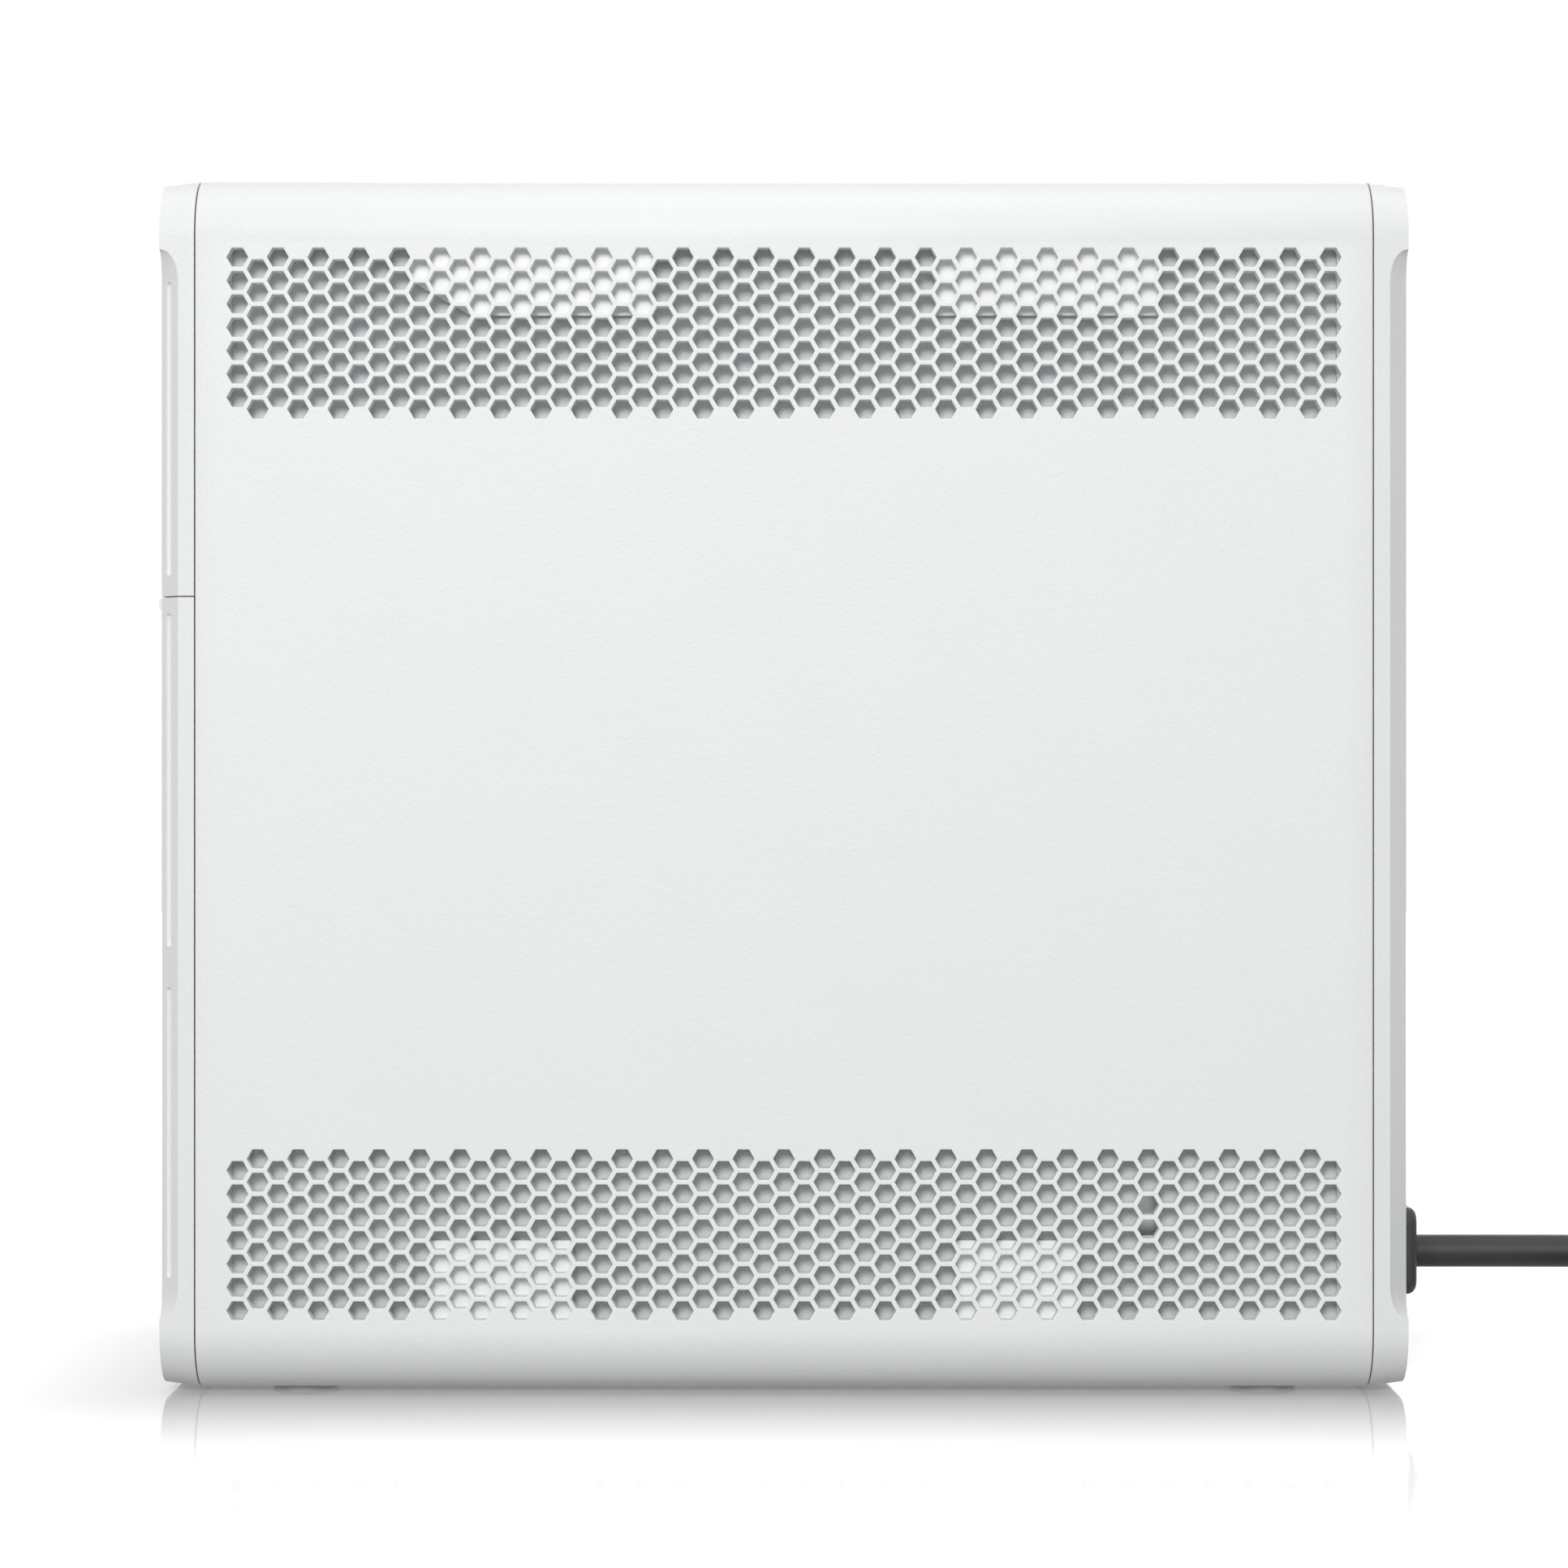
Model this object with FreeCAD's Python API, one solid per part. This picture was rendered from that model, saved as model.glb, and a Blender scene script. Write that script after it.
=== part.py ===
"""A tower-shaped wireless router on rubber feet, with its mains lead. Millimetres, +Z up.

The origin is on the floor under the middle of the case. The front faces -X, the sockets and
the mains inlet face +X, and the two vented sides face -Y and +Y.
"""
import FreeCAD, Part
import math
import os

V = FreeCAD.Vector

# Case
CASE_LENGTH = 290.9          # the sleeve along X, between the seams
CASE_WIDTH = 120.0
CASE_HEIGHT = 301.0
CORNER = 15.0                # radius of the four long edges
WALL = 3.0
SEAM = 0.3                   # open line between the sleeve and the covers
FIT = 0.2                    # clearance round a plate that sits in the sleeve
COVER_DEPTH = 8.65           # front covers and rear bezel, along X
COVER_WALL = 2.5
DRAFT = 1.1                  # how far the covers taper in towards their rims
FOOT_HEIGHT = 1.0            # how far the feet stand below the case
FOOT_RADIUS = 8.0
FOOT_PIN_RADIUS = 2.0
FOOT_INSET = (25.0, 22.0)    # from the ends and the sides of the sleeve

# Scoops on the side edges of the covers, and their grooves
SCOOP_BACK = 4.1             # along X on the side face
SCOOP_IN = 4.3               # along Y on the rim
SCOOP_TIP = 7.7              # height of each rounded end
SCOOP_MARGIN = 18.3          # from the top and the bottom of the case
GROOVE_RADIUS = 1.1
GROOVES = ((28.2, 100.2), (110.2, 192.8), (202.1, 274.8))  # heights above the case's bottom

# Front
SPLIT = 196.85               # height of the line between door and upper cover, from the case's bottom
LIP_THICK = 2.3
LIP_OUT = 2.0
LIP_HALF = 44.7
FRAME_THICK = 2.5
POST_Y = 40.0                # the covers' posts and studs, from the middle
UPPER_POST_INSET = (12.0, 16.0)   # from the split line and from the case's top
DOOR_STUD_INSET = (14.0, 12.0)    # from the case's bottom and from the split line
DOOR_SLOT = 2.2
DOOR_SLOT_PITCH = 5.0
DOOR_SLOTS = 17
DOOR_SLOT_ENDS = (48.0, 152.0)
FILTER = (46.0, 41.0, 161.0)      # half width, bottom and top
FILTER_THICK = 3.0
BUTTON_DOWN = 40.0           # from the case's top to the power button
BUTTON_RADIUS = 7.0
BUTTON_GAP = 0.3
BUTTON_TRAVEL = 1.0
BAR_DOWN = 60.0              # from the case's top to the light bar
BAR_HALF = 20.0
BAR_TALL = 1.5               # half of the light bar's height

# Vents
HEX_FLATS = 4.75
HEX_ROW = 5.7735
HEX_COLUMN = 5.0
HEX_COLUMNS = 55
HEX_ROWS = 7
VENT_EDGE = 20.4             # from the top or bottom of the case to the first row's centres
VENT_THICK = 4.5
VENT_BORDER = (3.6, 4.6)     # from the outer holes' centres to the grille's border, in X and Z
VENT_HALF_LENGTH = HEX_COLUMN * (HEX_COLUMNS - 1) / 2 + VENT_BORDER[0]
VENT_HIGH = CASE_HEIGHT / 2 - VENT_EDGE + VENT_BORDER[1]        # from the middle of the case
VENT_LOW = CASE_HEIGHT / 2 - VENT_EDGE - HEX_ROW * (HEX_ROWS - 0.5) - VENT_BORDER[1]
SCREEN_GAP = 2.0             # between the back of a grille and the dust screen
SCREEN_THICK = 1.0
SCREEN_WINDOW = ((88.0, 92.8), (38.3, 49.6))     # in X, and from the case's bottom
ANTENNA_THICK = 1.5
ANTENNAS = {1: ((-92.7, -32.7), (37.5, 92.9)), -1: ((-87.6, -52.4), (42.8, 72.7))}   # upper, lower
ANTENNA_INNER = {1: 34.3, -1: 37.3}              # from the case's top or bottom
ANTENNA_OUTER = 17.9
ANTENNA_CORNER = (15.0, 8.6)                     # slanted corner of the front upper boards
ELEMENT_THICK = 0.3

# Rear
EAR = 2.4                    # thickness under the case screws
PANEL_THICK = 1.5
BEZEL_WALL = 8.5
FAN = 92.0
FAN_DEPTH = 25.0
FAN_BORE = 44.0
FAN_HOLES = 41.25
EXHAUST_Z = 240.0
INTAKE_Z = 100.0
ROTOR_GAP = 1.5
BLADES = 7
JACK = (21.0, 13.5, 16.0)
JACK_SOCKET = (13.0, 8.2, 11.8)
JACK_PITCH = 17.5
JACK_LOW = 104.0
JACKS = 5
JACK_WALL = 2.6              # from a socket's outer face to its opening, in Y
JACK_PROUD = 0.3             # how far a socket stands out of the rear panel
LATCH = (6.0, 1.5, 6.4)      # the recess for a network plug's latch
REAR_BUTTONS = {"reset_button": 80.0, "sync_button": 91.0}      # heights
REAR_BUTTON_RADIUS = 2.6
REAR_BUTTON_Y = 11.0
REAR_BUTTON_BACK = 1.4       # from the panel to the inner face of a button's collar
REAR_STEM = 4.0
REAR_TRAVEL = 0.8

# Electronics
BOARD_FACE = 18.0            # where the main board's parts stand, in Y
BOARD_THICK = 1.6
STAND_OFF = 4.4
TRAY_THICK = 1.2
TRAY_Z = 6.0
SCREW_RADIUS = 1.25
HEAD_RADIUS = 2.8
HEAD_HEIGHT = 2.0
HOLE = 0.45                  # clearance round a screw
TRAY_HALF_WIDTH = 44.0
TRAY_WALL = (-112.0, 110.0)
TRAY_TOP = 284.0
MAIN_BOARD = ((-110.0, 109.0), (72.0, 280.0))    # in X and Z
BOARD_SCREWS = ((-104.0, 0.0, 103.0), (78.0, 274.0))
PROCESSOR = ((-35.0, -5.0), (165.0, 195.0))
PROCESSOR_TALL = 2.2
HEAT_SINK = ((-58.0, 18.0), (142.0, 218.0))
SINK_BASE = 5.0
SINK_TALL = 27.0
SINK_FINS = 15
SINK_PITCH = 5.0
SINK_FIN = 1.4
MEMORY = ((28.0, 39.0), (146, 162, 178, 194), 9.0, 1.2)   # X, bottoms, height, thickness
CANS = ((52, 100), (52, 145), (-95, 100))        # lower corners in X and Z
CAN = (40.0, 30.0, 4.0)
CAN_WALL = 0.6
RADIO_CARD = ((-80.0, 40.0), (4.4, 5.6), (228.0, 268.0))
SUPPLY = ((24.0, 118.0), (-45.0, 16.0), (TRAY_Z + TRAY_THICK, 64.0))
SUPPLY_FLOOR = SUPPLY[2][0] + 6.6                # top of the supply's board
SUPPLY_OUTLET = (-10.0, 52.0)                    # the lead's place in Y and Z

# Mains lead
INLET_Z = 31.1
INLET_CAVITY = (24.4, 16.6)
INLET_DEPTH = 15.0
INLET_FLANGE = 2.5
INLET_SCREW_Y = 20.0
INLET_BLADES = ((-7, -2), (0, 2), (7, -2))       # in Y, and in Z from the inlet's middle
BOOT = (30.0, 22.5)          # width and height
CORD = 8.5
CORD_Z = 29.9
COIL_CENTRE = (252.0, -47.75)
COIL_LANES = (39.25, 47.75)  # radii of the two rings of turns
COIL_LEVELS = 3
TIE = 0.9
CORD_ROUTE = ((163.1, 0.0, CORD_Z), (212.0, 0.0, CORD_Z), (238.0, 0.0, 22.15), (262.0, -1.0, 22.15))
TAIL_ROUTE = ((216.6, -12.4, 13.65), (233.0, 4.4, 13.0), (260.2, 10.7, 9.5), (288.1, 2.0, 8.0),
              (308.5, -17.7, 10.0), (318.0, -42.0, 10.0))
PLUG = (25.0, 32.0, 20.0)

MIDDLE = FOOT_HEIGHT + CASE_HEIGHT / 2
TOP = FOOT_HEIGHT + CASE_HEIGHT
HALF_LENGTH = CASE_LENGTH / 2
HALF_WIDTH = CASE_WIDTH / 2
COVER_START = HALF_LENGTH + SEAM
RIM = COVER_START + COVER_DEPTH
PANEL_X = HALF_LENGTH - 2.45
PANEL_OUT = PANEL_X + PANEL_THICK
COVER_BACK = RIM - COVER_WALL    # the covers' inner faces
BUTTON_Z = TOP - BUTTON_DOWN
BAR_Z = TOP - BAR_DOWN
FRAME_X = HALF_LENGTH - FRAME_THICK
BOSS_RADIUS = 5.0
BOSS_INSET = 9.5
COVER_POST = 3.5
SCREW_LENGTH = 10.0
BOSSES = [(sy * (HALF_WIDTH - BOSS_INSET), z)
          for sy in (-1, 1) for z in (FOOT_HEIGHT + BOSS_INSET, TOP - BOSS_INSET)]


def box(x, y, z):
    """A block between two values along each axis."""
    return Part.makeBox(x[1] - x[0], y[1] - y[0], z[1] - z[0], V(x[0], y[0], z[0]))


def rod(start, radius, length, axis="x"):
    """A round bar from a point along an axis; a negative length runs the other way."""
    way = {"x": V(1, 0, 0), "y": V(0, 1, 0), "z": V(0, 0, 1)}[axis]
    return Part.makeCylinder(radius, abs(length), V(*start), way * math.copysign(1, length))


def outline(inset, x, radius=None):
    """The case's rounded outline at x, moved in by an inset."""
    half, low, high = HALF_WIDTH - inset, FOOT_HEIGHT + inset, TOP - inset
    r = max(radius if radius is not None else CORNER - inset, 0.5)
    k = r * (1 - math.sqrt(0.5))
    edges = []
    corners = ((1, 1), (-1, 1), (-1, -1), (1, -1))
    points = []
    for sy, sz in corners:
        y, z = sy * half, high if sz > 0 else low
        along_z, along_y = V(x, y, z - sz * r), V(x, y - sy * r, z)
        middle = V(x, y - sy * k, z - sz * k)
        first, last = (along_z, along_y) if sy * sz > 0 else (along_y, along_z)
        points.append((first, middle, last))
    for i, (first, middle, last) in enumerate(points):
        edges.append(Part.Arc(first, middle, last).toShape())
        edges.append(Part.LineSegment(last, points[(i + 1) % 4][0]).toShape())
    return Part.Wire(edges)


def slab(inset, x0, x1, radius=None):
    """A solid of the case's outline between two places along X."""
    return Part.Face(outline(inset, x0, radius)).extrude(V(x1 - x0, 0, 0))


def ring(outer, inner, x0, x1):
    """A band that follows the case's outline, between two insets."""
    return slab(outer, x0, x1).cut(slab(inner, x0, x1))


def fused(first, *others):
    """The pieces as one solid, with joined faces merged."""
    return first.multiFuse(list(others)).removeSplitter() if others else first


def drilled(solid, holes):
    """The solid with the holes taken out."""
    return solid.cut(Part.makeCompound(holes))


def screw(x, y, z, way, length=SCREW_LENGTH):
    """A pan-head screw whose head stands on x and whose shank runs along way, +1 or -1 in X."""
    head = rod((x, y, z), HEAD_RADIUS, -way * HEAD_HEIGHT)
    shank = rod((x, y, z), SCREW_RADIUS, way * length)
    slot = box((x - HEAD_HEIGHT, x + HEAD_HEIGHT), (y - 1.8, y + 1.8), (z - 0.3, z + 0.3))
    slot.translate(V(-way * (2 * HEAD_HEIGHT - 0.8), 0, 0))
    return head.fuse(shank).cut(slot)


def hexagon(x, y, z):
    """A hexagon with corners front and rear, on a side of the case."""
    r = HEX_FLATS / math.sqrt(3)
    corners = [V(x + r * math.cos(math.radians(60 * i)), y, z - r * math.sin(math.radians(60 * i)))
               for i in range(7)]
    return Part.makePolygon(corners)


def grille(side, level):
    """One honeycomb field in a side wall; level is +1 at the top and -1 at the bottom."""
    y = side * HALF_WIDTH
    ends = sorted((MIDDLE + level * VENT_LOW, MIDDLE + level * VENT_HIGH))
    a, b = -VENT_HALF_LENGTH, VENT_HALF_LENGTH
    wires = [Part.makePolygon([V(a, y, ends[0]), V(b, y, ends[0]), V(b, y, ends[1]), V(a, y, ends[1]),
                               V(a, y, ends[0])])]
    for column in range(HEX_COLUMNS):
        x = HEX_COLUMN * (column - (HEX_COLUMNS - 1) / 2)
        first = CASE_HEIGHT / 2 - VENT_EDGE - (HEX_ROW / 2 if column % 2 else 0)
        for row in range(HEX_ROWS):
            wires.append(hexagon(x, y, MIDDLE + level * (first - HEX_ROW * row)))
    return Part.Face(wires).extrude(V(0, -side * VENT_THICK, 0))


def vent_grilles():
    """The four honeycomb fields, let in flush with the side walls."""
    return [grille(side, level) for side in (-1, 1) for level in (-1, 1)]


def outer_sleeve():
    """The case's shell: one moulded tube with openings for the grilles, foot holes and screw posts."""
    tube = ring(0, WALL, -HALF_LENGTH, HALF_LENGTH)
    holes = []
    for level in (-1, 1):
        ends = sorted((MIDDLE + level * VENT_LOW, MIDDLE + level * VENT_HIGH))
        for side in (-1, 1):
            y = sorted((side * (HALF_WIDTH + 1), side * (HALF_WIDTH - WALL - 1)))
            holes.append(box((-VENT_HALF_LENGTH, VENT_HALF_LENGTH), y, ends))
    posts = []
    for y, z in BOSSES:
        posts.append(rod((PANEL_X - 10, y, z), BOSS_RADIUS, 10))
        posts.append(rod((-FRAME_X, y, z), BOSS_RADIUS, 10))
        holes.append(rod((PANEL_X - 10, y, z), SCREW_RADIUS, 12))
        holes.append(rod((-FRAME_X + 10, y, z), SCREW_RADIUS, -12))
    for x, y in feet_places():
        posts.append(rod((x, y, FOOT_HEIGHT + 1), 6, TRAY_Z - FOOT_HEIGHT - 1, "z"))
        holes.append(rod((x, y, 0), FOOT_PIN_RADIUS, TRAY_Z - 1, "z"))
    return drilled(fused(tube, *posts), holes)


def feet_places():
    """The places of the four feet."""
    return [(sx * (HALF_LENGTH - FOOT_INSET[0]), sy * (HALF_WIDTH - FOOT_INSET[1]))
            for sx in (-1, 1) for sy in (-1, 1)]


def rubber_feet():
    """Four round feet, each with a pin pushed into the sleeve."""
    feet = []
    for x, y in feet_places():
        pad = rod((x, y, 0), FOOT_RADIUS, FOOT_HEIGHT, "z")
        feet.append(pad.fuse(rod((x, y, FOOT_HEIGHT), FOOT_PIN_RADIUS, TRAY_Z - 2, "z")))
    return feet


def scoop(end, side):
    """What a scoop takes off the edge between a cover's side face and its rim."""
    high, low = TOP - SCOOP_MARGIN, FOOT_HEIGHT + SCOOP_MARGIN
    y = side * (HALF_WIDTH - DRAFT)
    rim, back = end * RIM, end * (RIM - SCOOP_BACK)
    out = end * (RIM + 10)
    tips = []
    for z, way in ((high, 1), (low, -1)):
        centre = V(rim, y, z - way * SCOOP_TIP)
        quarter = [V(rim - end * SCOOP_BACK * math.cos(a), y, centre.z + way * SCOOP_TIP * math.sin(a))
                   for a in (math.radians(d) for d in (0, 22.5, 45, 67.5, 90))]
        curve = Part.BSplineCurve()
        curve.interpolate(quarter)
        tips.append(curve.toShape())
    edges = [tips[0], Part.LineSegment(V(rim, y, high), V(out, y, high)).toShape(),
             Part.LineSegment(V(out, y, high), V(out, y, low)).toShape(),
             Part.LineSegment(V(out, y, low), V(rim, y, low)).toShape(), tips[1],
             Part.LineSegment(V(back, y, low + SCOOP_TIP), V(back, y, high - SCOOP_TIP)).toShape()]
    face = Part.Face(Part.Wire(Part.__sortEdges__(edges)))
    step = V(end * SCOOP_BACK, -side * SCOOP_IN, 0)
    face.translate(step * -1)
    return face.extrude(step * 3)


def groove(side, low, high):
    """A ball-ended groove along the middle of a front scoop."""
    slant = math.hypot(SCOOP_BACK, SCOOP_IN)
    x = -(RIM - SCOOP_BACK / 2) - 0.2 * SCOOP_IN / slant
    y = side * (HALF_WIDTH - DRAFT - SCOOP_IN / 2 + 0.2 * SCOOP_BACK / slant)
    low, high = FOOT_HEIGHT + low + GROOVE_RADIUS, FOOT_HEIGHT + high - GROOVE_RADIUS
    bar = rod((x, y, low), GROOVE_RADIUS, high - low, "z")
    return [bar, Part.makeSphere(GROOVE_RADIUS, V(x, y, low)), Part.makeSphere(GROOVE_RADIUS, V(x, y, high))]


def front_shell(low, high):
    """The tapered front cap between two heights, hollow behind, with scoops and grooves."""
    cap = Part.makeLoft([outline(0, -COVER_START), outline(DRAFT, -RIM)], True, True)
    cuts = [scoop(-1, side) for side in (-1, 1)]
    for side in (-1, 1):
        for ends in GROOVES:
            cuts += groove(side, *ends)
    pocket = slab(COVER_WALL, -COVER_START, -(RIM - SCOOP_BACK - 2.0))
    well = slab(BEZEL_WALL, -COVER_START, -(RIM - COVER_WALL), 4)
    cap = cap.cut(pocket).cut(well)
    for tool in cuts:
        cap = cap.cut(tool)
    keep = box((-RIM - 1, -COVER_START + 1), (-HALF_WIDTH - 1, HALF_WIDTH + 1), (low, high))
    return cap.common(keep)


def split_height():
    """The height of the line between the door and the upper cover."""
    return FOOT_HEIGHT + SPLIT


def cover_posts(low, high):
    """Where a cover stands on the front frame: two posts near its top and two near its bottom."""
    return [(sy * POST_Y, z) for sy in (-1, 1) for z in (low, high)]


UPPER_POSTS = cover_posts(split_height() + UPPER_POST_INSET[0], TOP - UPPER_POST_INSET[1])
DOOR_STUDS = cover_posts(FOOT_HEIGHT + DOOR_STUD_INSET[0], split_height() - DOOR_STUD_INSET[1])


def front_upper_cover():
    """The fixed upper part of the front, with holes for the button and the light bar."""
    shell = front_shell(split_height() + SEAM / 2, TOP + 1)
    inner = -COVER_BACK
    posts = [rod((inner, y, z), COVER_POST, -HALF_LENGTH - inner) for y, z in UPPER_POSTS]
    holes = [rod((-HALF_LENGTH, y, z), SCREW_RADIUS, inner + 1.0 + HALF_LENGTH) for y, z in UPPER_POSTS]
    holes.append(rod((inner + 1, 0, BUTTON_Z), BUTTON_RADIUS + BUTTON_GAP, -COVER_WALL - 2))
    bar_hole = (BAR_Z - BAR_TALL, BAR_Z + BAR_TALL)
    holes.append(box((inner - COVER_WALL - 1, inner + 1), (-BAR_HALF, BAR_HALF), bar_hole))
    return drilled(fused(shell, *posts), holes)


def front_lower_door():
    """The lower door, which pulls straight off; its lip is for a finger and its slots let air in."""
    shell = front_shell(0, split_height() - SEAM / 2)
    top = split_height() - SEAM / 2
    lip = box((-RIM - LIP_OUT, -RIM + 0.5), (-LIP_HALF, LIP_HALF), (top - LIP_THICK, top))
    inner = -COVER_BACK
    half, low, high = FILTER
    rails = [box((inner - 0.5, inner + FILTER_THICK + FIT), sorted((sy * (half + FIT), sy * (half + 3))),
                 (low - 1, high + 1)) for sy in (-1, 1)]
    cuts = []
    for i in range(DOOR_SLOTS):
        y = DOOR_SLOT_PITCH * (i - (DOOR_SLOTS - 1) / 2)
        cuts.append(box((-RIM - 1, inner + 1), (y - DOOR_SLOT / 2, y + DOOR_SLOT / 2), DOOR_SLOT_ENDS))
    shell = drilled(shell, cuts)
    return fused(shell, lip, *rails)


def door_filter():
    """The washable foam filter held between the door's rails."""
    half, low, high = FILTER
    return box((-COVER_BACK, -COVER_BACK + FILTER_THICK), (-half, half), (low, high))


def door_catch_studs():
    """Four ball studs on the back of the door."""
    start = -COVER_BACK
    studs = []
    for y, z in DOOR_STUDS:
        shank = rod((start, y, z), 2.25, 10.5)
        foot = rod((start, y, z), 4.5, 1.5)
        studs.append(fused(shank, foot, Part.makeSphere(3.0, V(start + 11.5, y, z))))
    return studs


def door_catch_sockets():
    """Four nylon bushes in the front frame that grip the door's studs."""
    sockets = []
    for y, z in DOOR_STUDS:
        body = rod((-HALF_LENGTH, y, z), 5.0, 9.0)
        flange = rod((-HALF_LENGTH, y, z), 6.5, -1.0)
        bore = rod((-HALF_LENGTH - 2, y, z), 3.3, 12.0)
        sockets.append(body.fuse(flange).cut(bore))
    return sockets


def front_frame():
    """The plate in the sleeve's front mouth that carries the fan, covers and switch board."""
    plate = slab(WALL + FIT, -HALF_LENGTH, -FRAME_X)
    holes = [rod((-HALF_LENGTH - 1, 0, INTAKE_Z), FAN_BORE, 6)]
    holes += [rod((-HALF_LENGTH - 1, y, z), SCREW_RADIUS + HOLE, 6) for y, z in BOSSES + UPPER_POSTS]
    holes += [rod((-HALF_LENGTH - 1, y, z), 5.0, 6) for y, z in DOOR_STUDS]
    holes += [rod((-HALF_LENGTH - 1, y, z), SCREW_RADIUS + HOLE, 6) for y, z in fan_corners(INTAKE_Z)]
    holes.append(box((-HALF_LENGTH - 1, -FRAME_X + 1), (-28, 28), (BAR_Z - 8, BUTTON_Z + 12)))
    return drilled(plate, holes)


def fan_corners(z):
    """The four screw places of a fan whose axis is at this height."""
    return [(sy * FAN_HOLES, z + sz * FAN_HOLES) for sy in (-1, 1) for sz in (-1, 1)]


def fan_frame(x0, x1, z, open_side):
    """A fan's square housing; its motor plate and struts are on the side away from open_side."""
    half = FAN / 2
    body = box((x0, x1), (-half, half), (z - half, z + half))
    edges = [e for e in body.Edges if abs(e.Vertexes[0].X - e.Vertexes[1].X) > 1]
    body = body.makeFillet(5.0, edges)
    body = body.cut(rod((x0 - 1, 0, z), FAN_BORE, FAN_DEPTH + 2))
    at, way = (x1, -1) if open_side < 0 else (x0, 1)
    hub = rod((at, 0, z), 18.0, way * 2.5)
    parts = [body, hub]
    for i in range(4):
        strut = box((min(at, at + way * 2.5), max(at, at + way * 2.5)), (10, FAN_BORE + 1.5), (z - 2, z + 2))
        strut.rotate(V(0, 0, z), V(1, 0, 0), 45 + 90 * i)
        parts.append(strut)
    whole = fused(*parts)
    return drilled(whole, [rod((x0 - 1, y, zz), SCREW_RADIUS, FAN_DEPTH + 2) for y, zz in fan_corners(z)])


def fan_rotor(x0, x1, z, open_side):
    """A fan's hub and pitched blades, clear of its housing all round."""
    plate = 2.5 + 0.6
    a, b = (x0 + 1.0, x1 - plate) if open_side < 0 else (x0 + plate, x1 - 1.0)
    hub = rod((a, 0, z), 17.0, b - a)
    blades = []
    for i in range(BLADES):
        blade = box((-0.8, 0.8), (14.0, 50.0), (-12.0, 12.0))
        blade.rotate(V(0, 0, 0), V(0, 1, 0), 50)
        blade.translate(V((a + b) / 2, 0, z))
        blade.rotate(V(0, 0, z), V(1, 0, 0), 360.0 / BLADES * i)
        blades.append(blade)
    reach = rod((a, 0, z), FAN_BORE - ROTOR_GAP, b - a)
    return fused(hub, *blades).common(reach)


def exhaust_fan_frame():
    """The housing of the fan behind the rear panel."""
    return fan_frame(PANEL_X - FAN_DEPTH, PANEL_X, EXHAUST_Z, -1)


def exhaust_fan_rotor():
    """The turning part of the rear fan."""
    return fan_rotor(PANEL_X - FAN_DEPTH, PANEL_X, EXHAUST_Z, -1)


def intake_fan_frame():
    """The housing of the fan behind the door."""
    return fan_frame(-FRAME_X, -FRAME_X + FAN_DEPTH, INTAKE_Z, -1)


def intake_fan_rotor():
    """The turning part of the front fan."""
    return fan_rotor(-FRAME_X, -FRAME_X + FAN_DEPTH, INTAKE_Z, -1)


def fan_screws():
    """Eight screws, four in each fan."""
    rear = [screw(PANEL_OUT, y, z, -1) for y, z in fan_corners(EXHAUST_Z)]
    return rear + [screw(-HALF_LENGTH, y, z, 1) for y, z in fan_corners(INTAKE_Z)]


def case_screws():
    """Eight screws into the sleeve's posts, at the front frame and at the rear bezel."""
    front = [screw(-HALF_LENGTH, y, z, 1) for y, z in BOSSES]
    return front + [screw(PANEL_OUT + EAR, y, z, -1, SCREW_LENGTH + 1) for y, z in BOSSES]


def cover_screws():
    """Four screws through the front frame into the upper cover's posts."""
    return [screw(-FRAME_X, y, z, -1, 7.5) for y, z in UPPER_POSTS]


def rear_bezel():
    """The tapered frame round the sockets, with ears under the case screws."""
    cap = Part.makeLoft([outline(0, COVER_START), outline(DRAFT, RIM)], True, True)
    cap = cap.cut(slab(BEZEL_WALL, COVER_START - 1, RIM + 1, 6))
    groove_ring = ring(COVER_WALL, BEZEL_WALL - 2.0, COVER_START, RIM - SCOOP_BACK - 2.0)
    cap = cap.cut(groove_ring)
    for side in (-1, 1):
        cap = cap.cut(scoop(1, side))
    start = PANEL_OUT
    tongue = slab(WALL + FIT, start, COVER_START).cut(slab(WALL + FIT + 1.6, start, COVER_START))
    ears = [rod((start, y, z), BOSS_RADIUS, EAR) for y, z in BOSSES]
    bridge = ring(COVER_WALL, BEZEL_WALL - 1.0, COVER_START, COVER_START + 1.2)
    inner = slab(WALL + FIT, start - 1, RIM)
    ears = [ear.common(inner) for ear in ears]
    holes = [rod((start - 1, y, z), SCREW_RADIUS + HOLE, EAR + 2) for y, z in BOSSES]
    holes += [rod((start + EAR, y, z), HEAD_RADIUS + 0.5, RIM) for y, z in BOSSES]
    return drilled(fused(cap, tongue, bridge, *ears), holes)


def jack_places():
    """The heights of the network sockets; the last one is for the outside line."""
    return [JACK_LOW + JACK_PITCH * i + (4.0 if i == JACKS - 1 else 0.0) for i in range(JACKS)]


def jack(z):
    """A network socket on the main board, open towards the rear."""
    x1 = PANEL_OUT + JACK_PROUD
    y0 = BOARD_FACE - JACK[1]
    body = box((x1 - JACK[0], x1), (y0, BOARD_FACE), (z - JACK[2] / 2, z + JACK[2] / 2))
    half = JACK_SOCKET[2] / 2
    start = y0 + JACK_WALL
    hole = box((x1 - JACK_SOCKET[0], x1 + 1), (start, start + JACK_SOCKET[1]), (z - half, z + half))
    deep, tall, wide = LATCH
    latch = box((x1 - deep, x1 + 1), (start + 0.1 - tall, start + 0.1), (z - wide / 2, z + wide / 2))
    return body.cut(hole).cut(latch)


def lan_jacks():
    """The four sockets for the home network."""
    return [jack(z) for z in jack_places()[:-1]]


def wan_jack():
    """The socket for the outside line."""
    return jack(jack_places()[-1])


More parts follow.
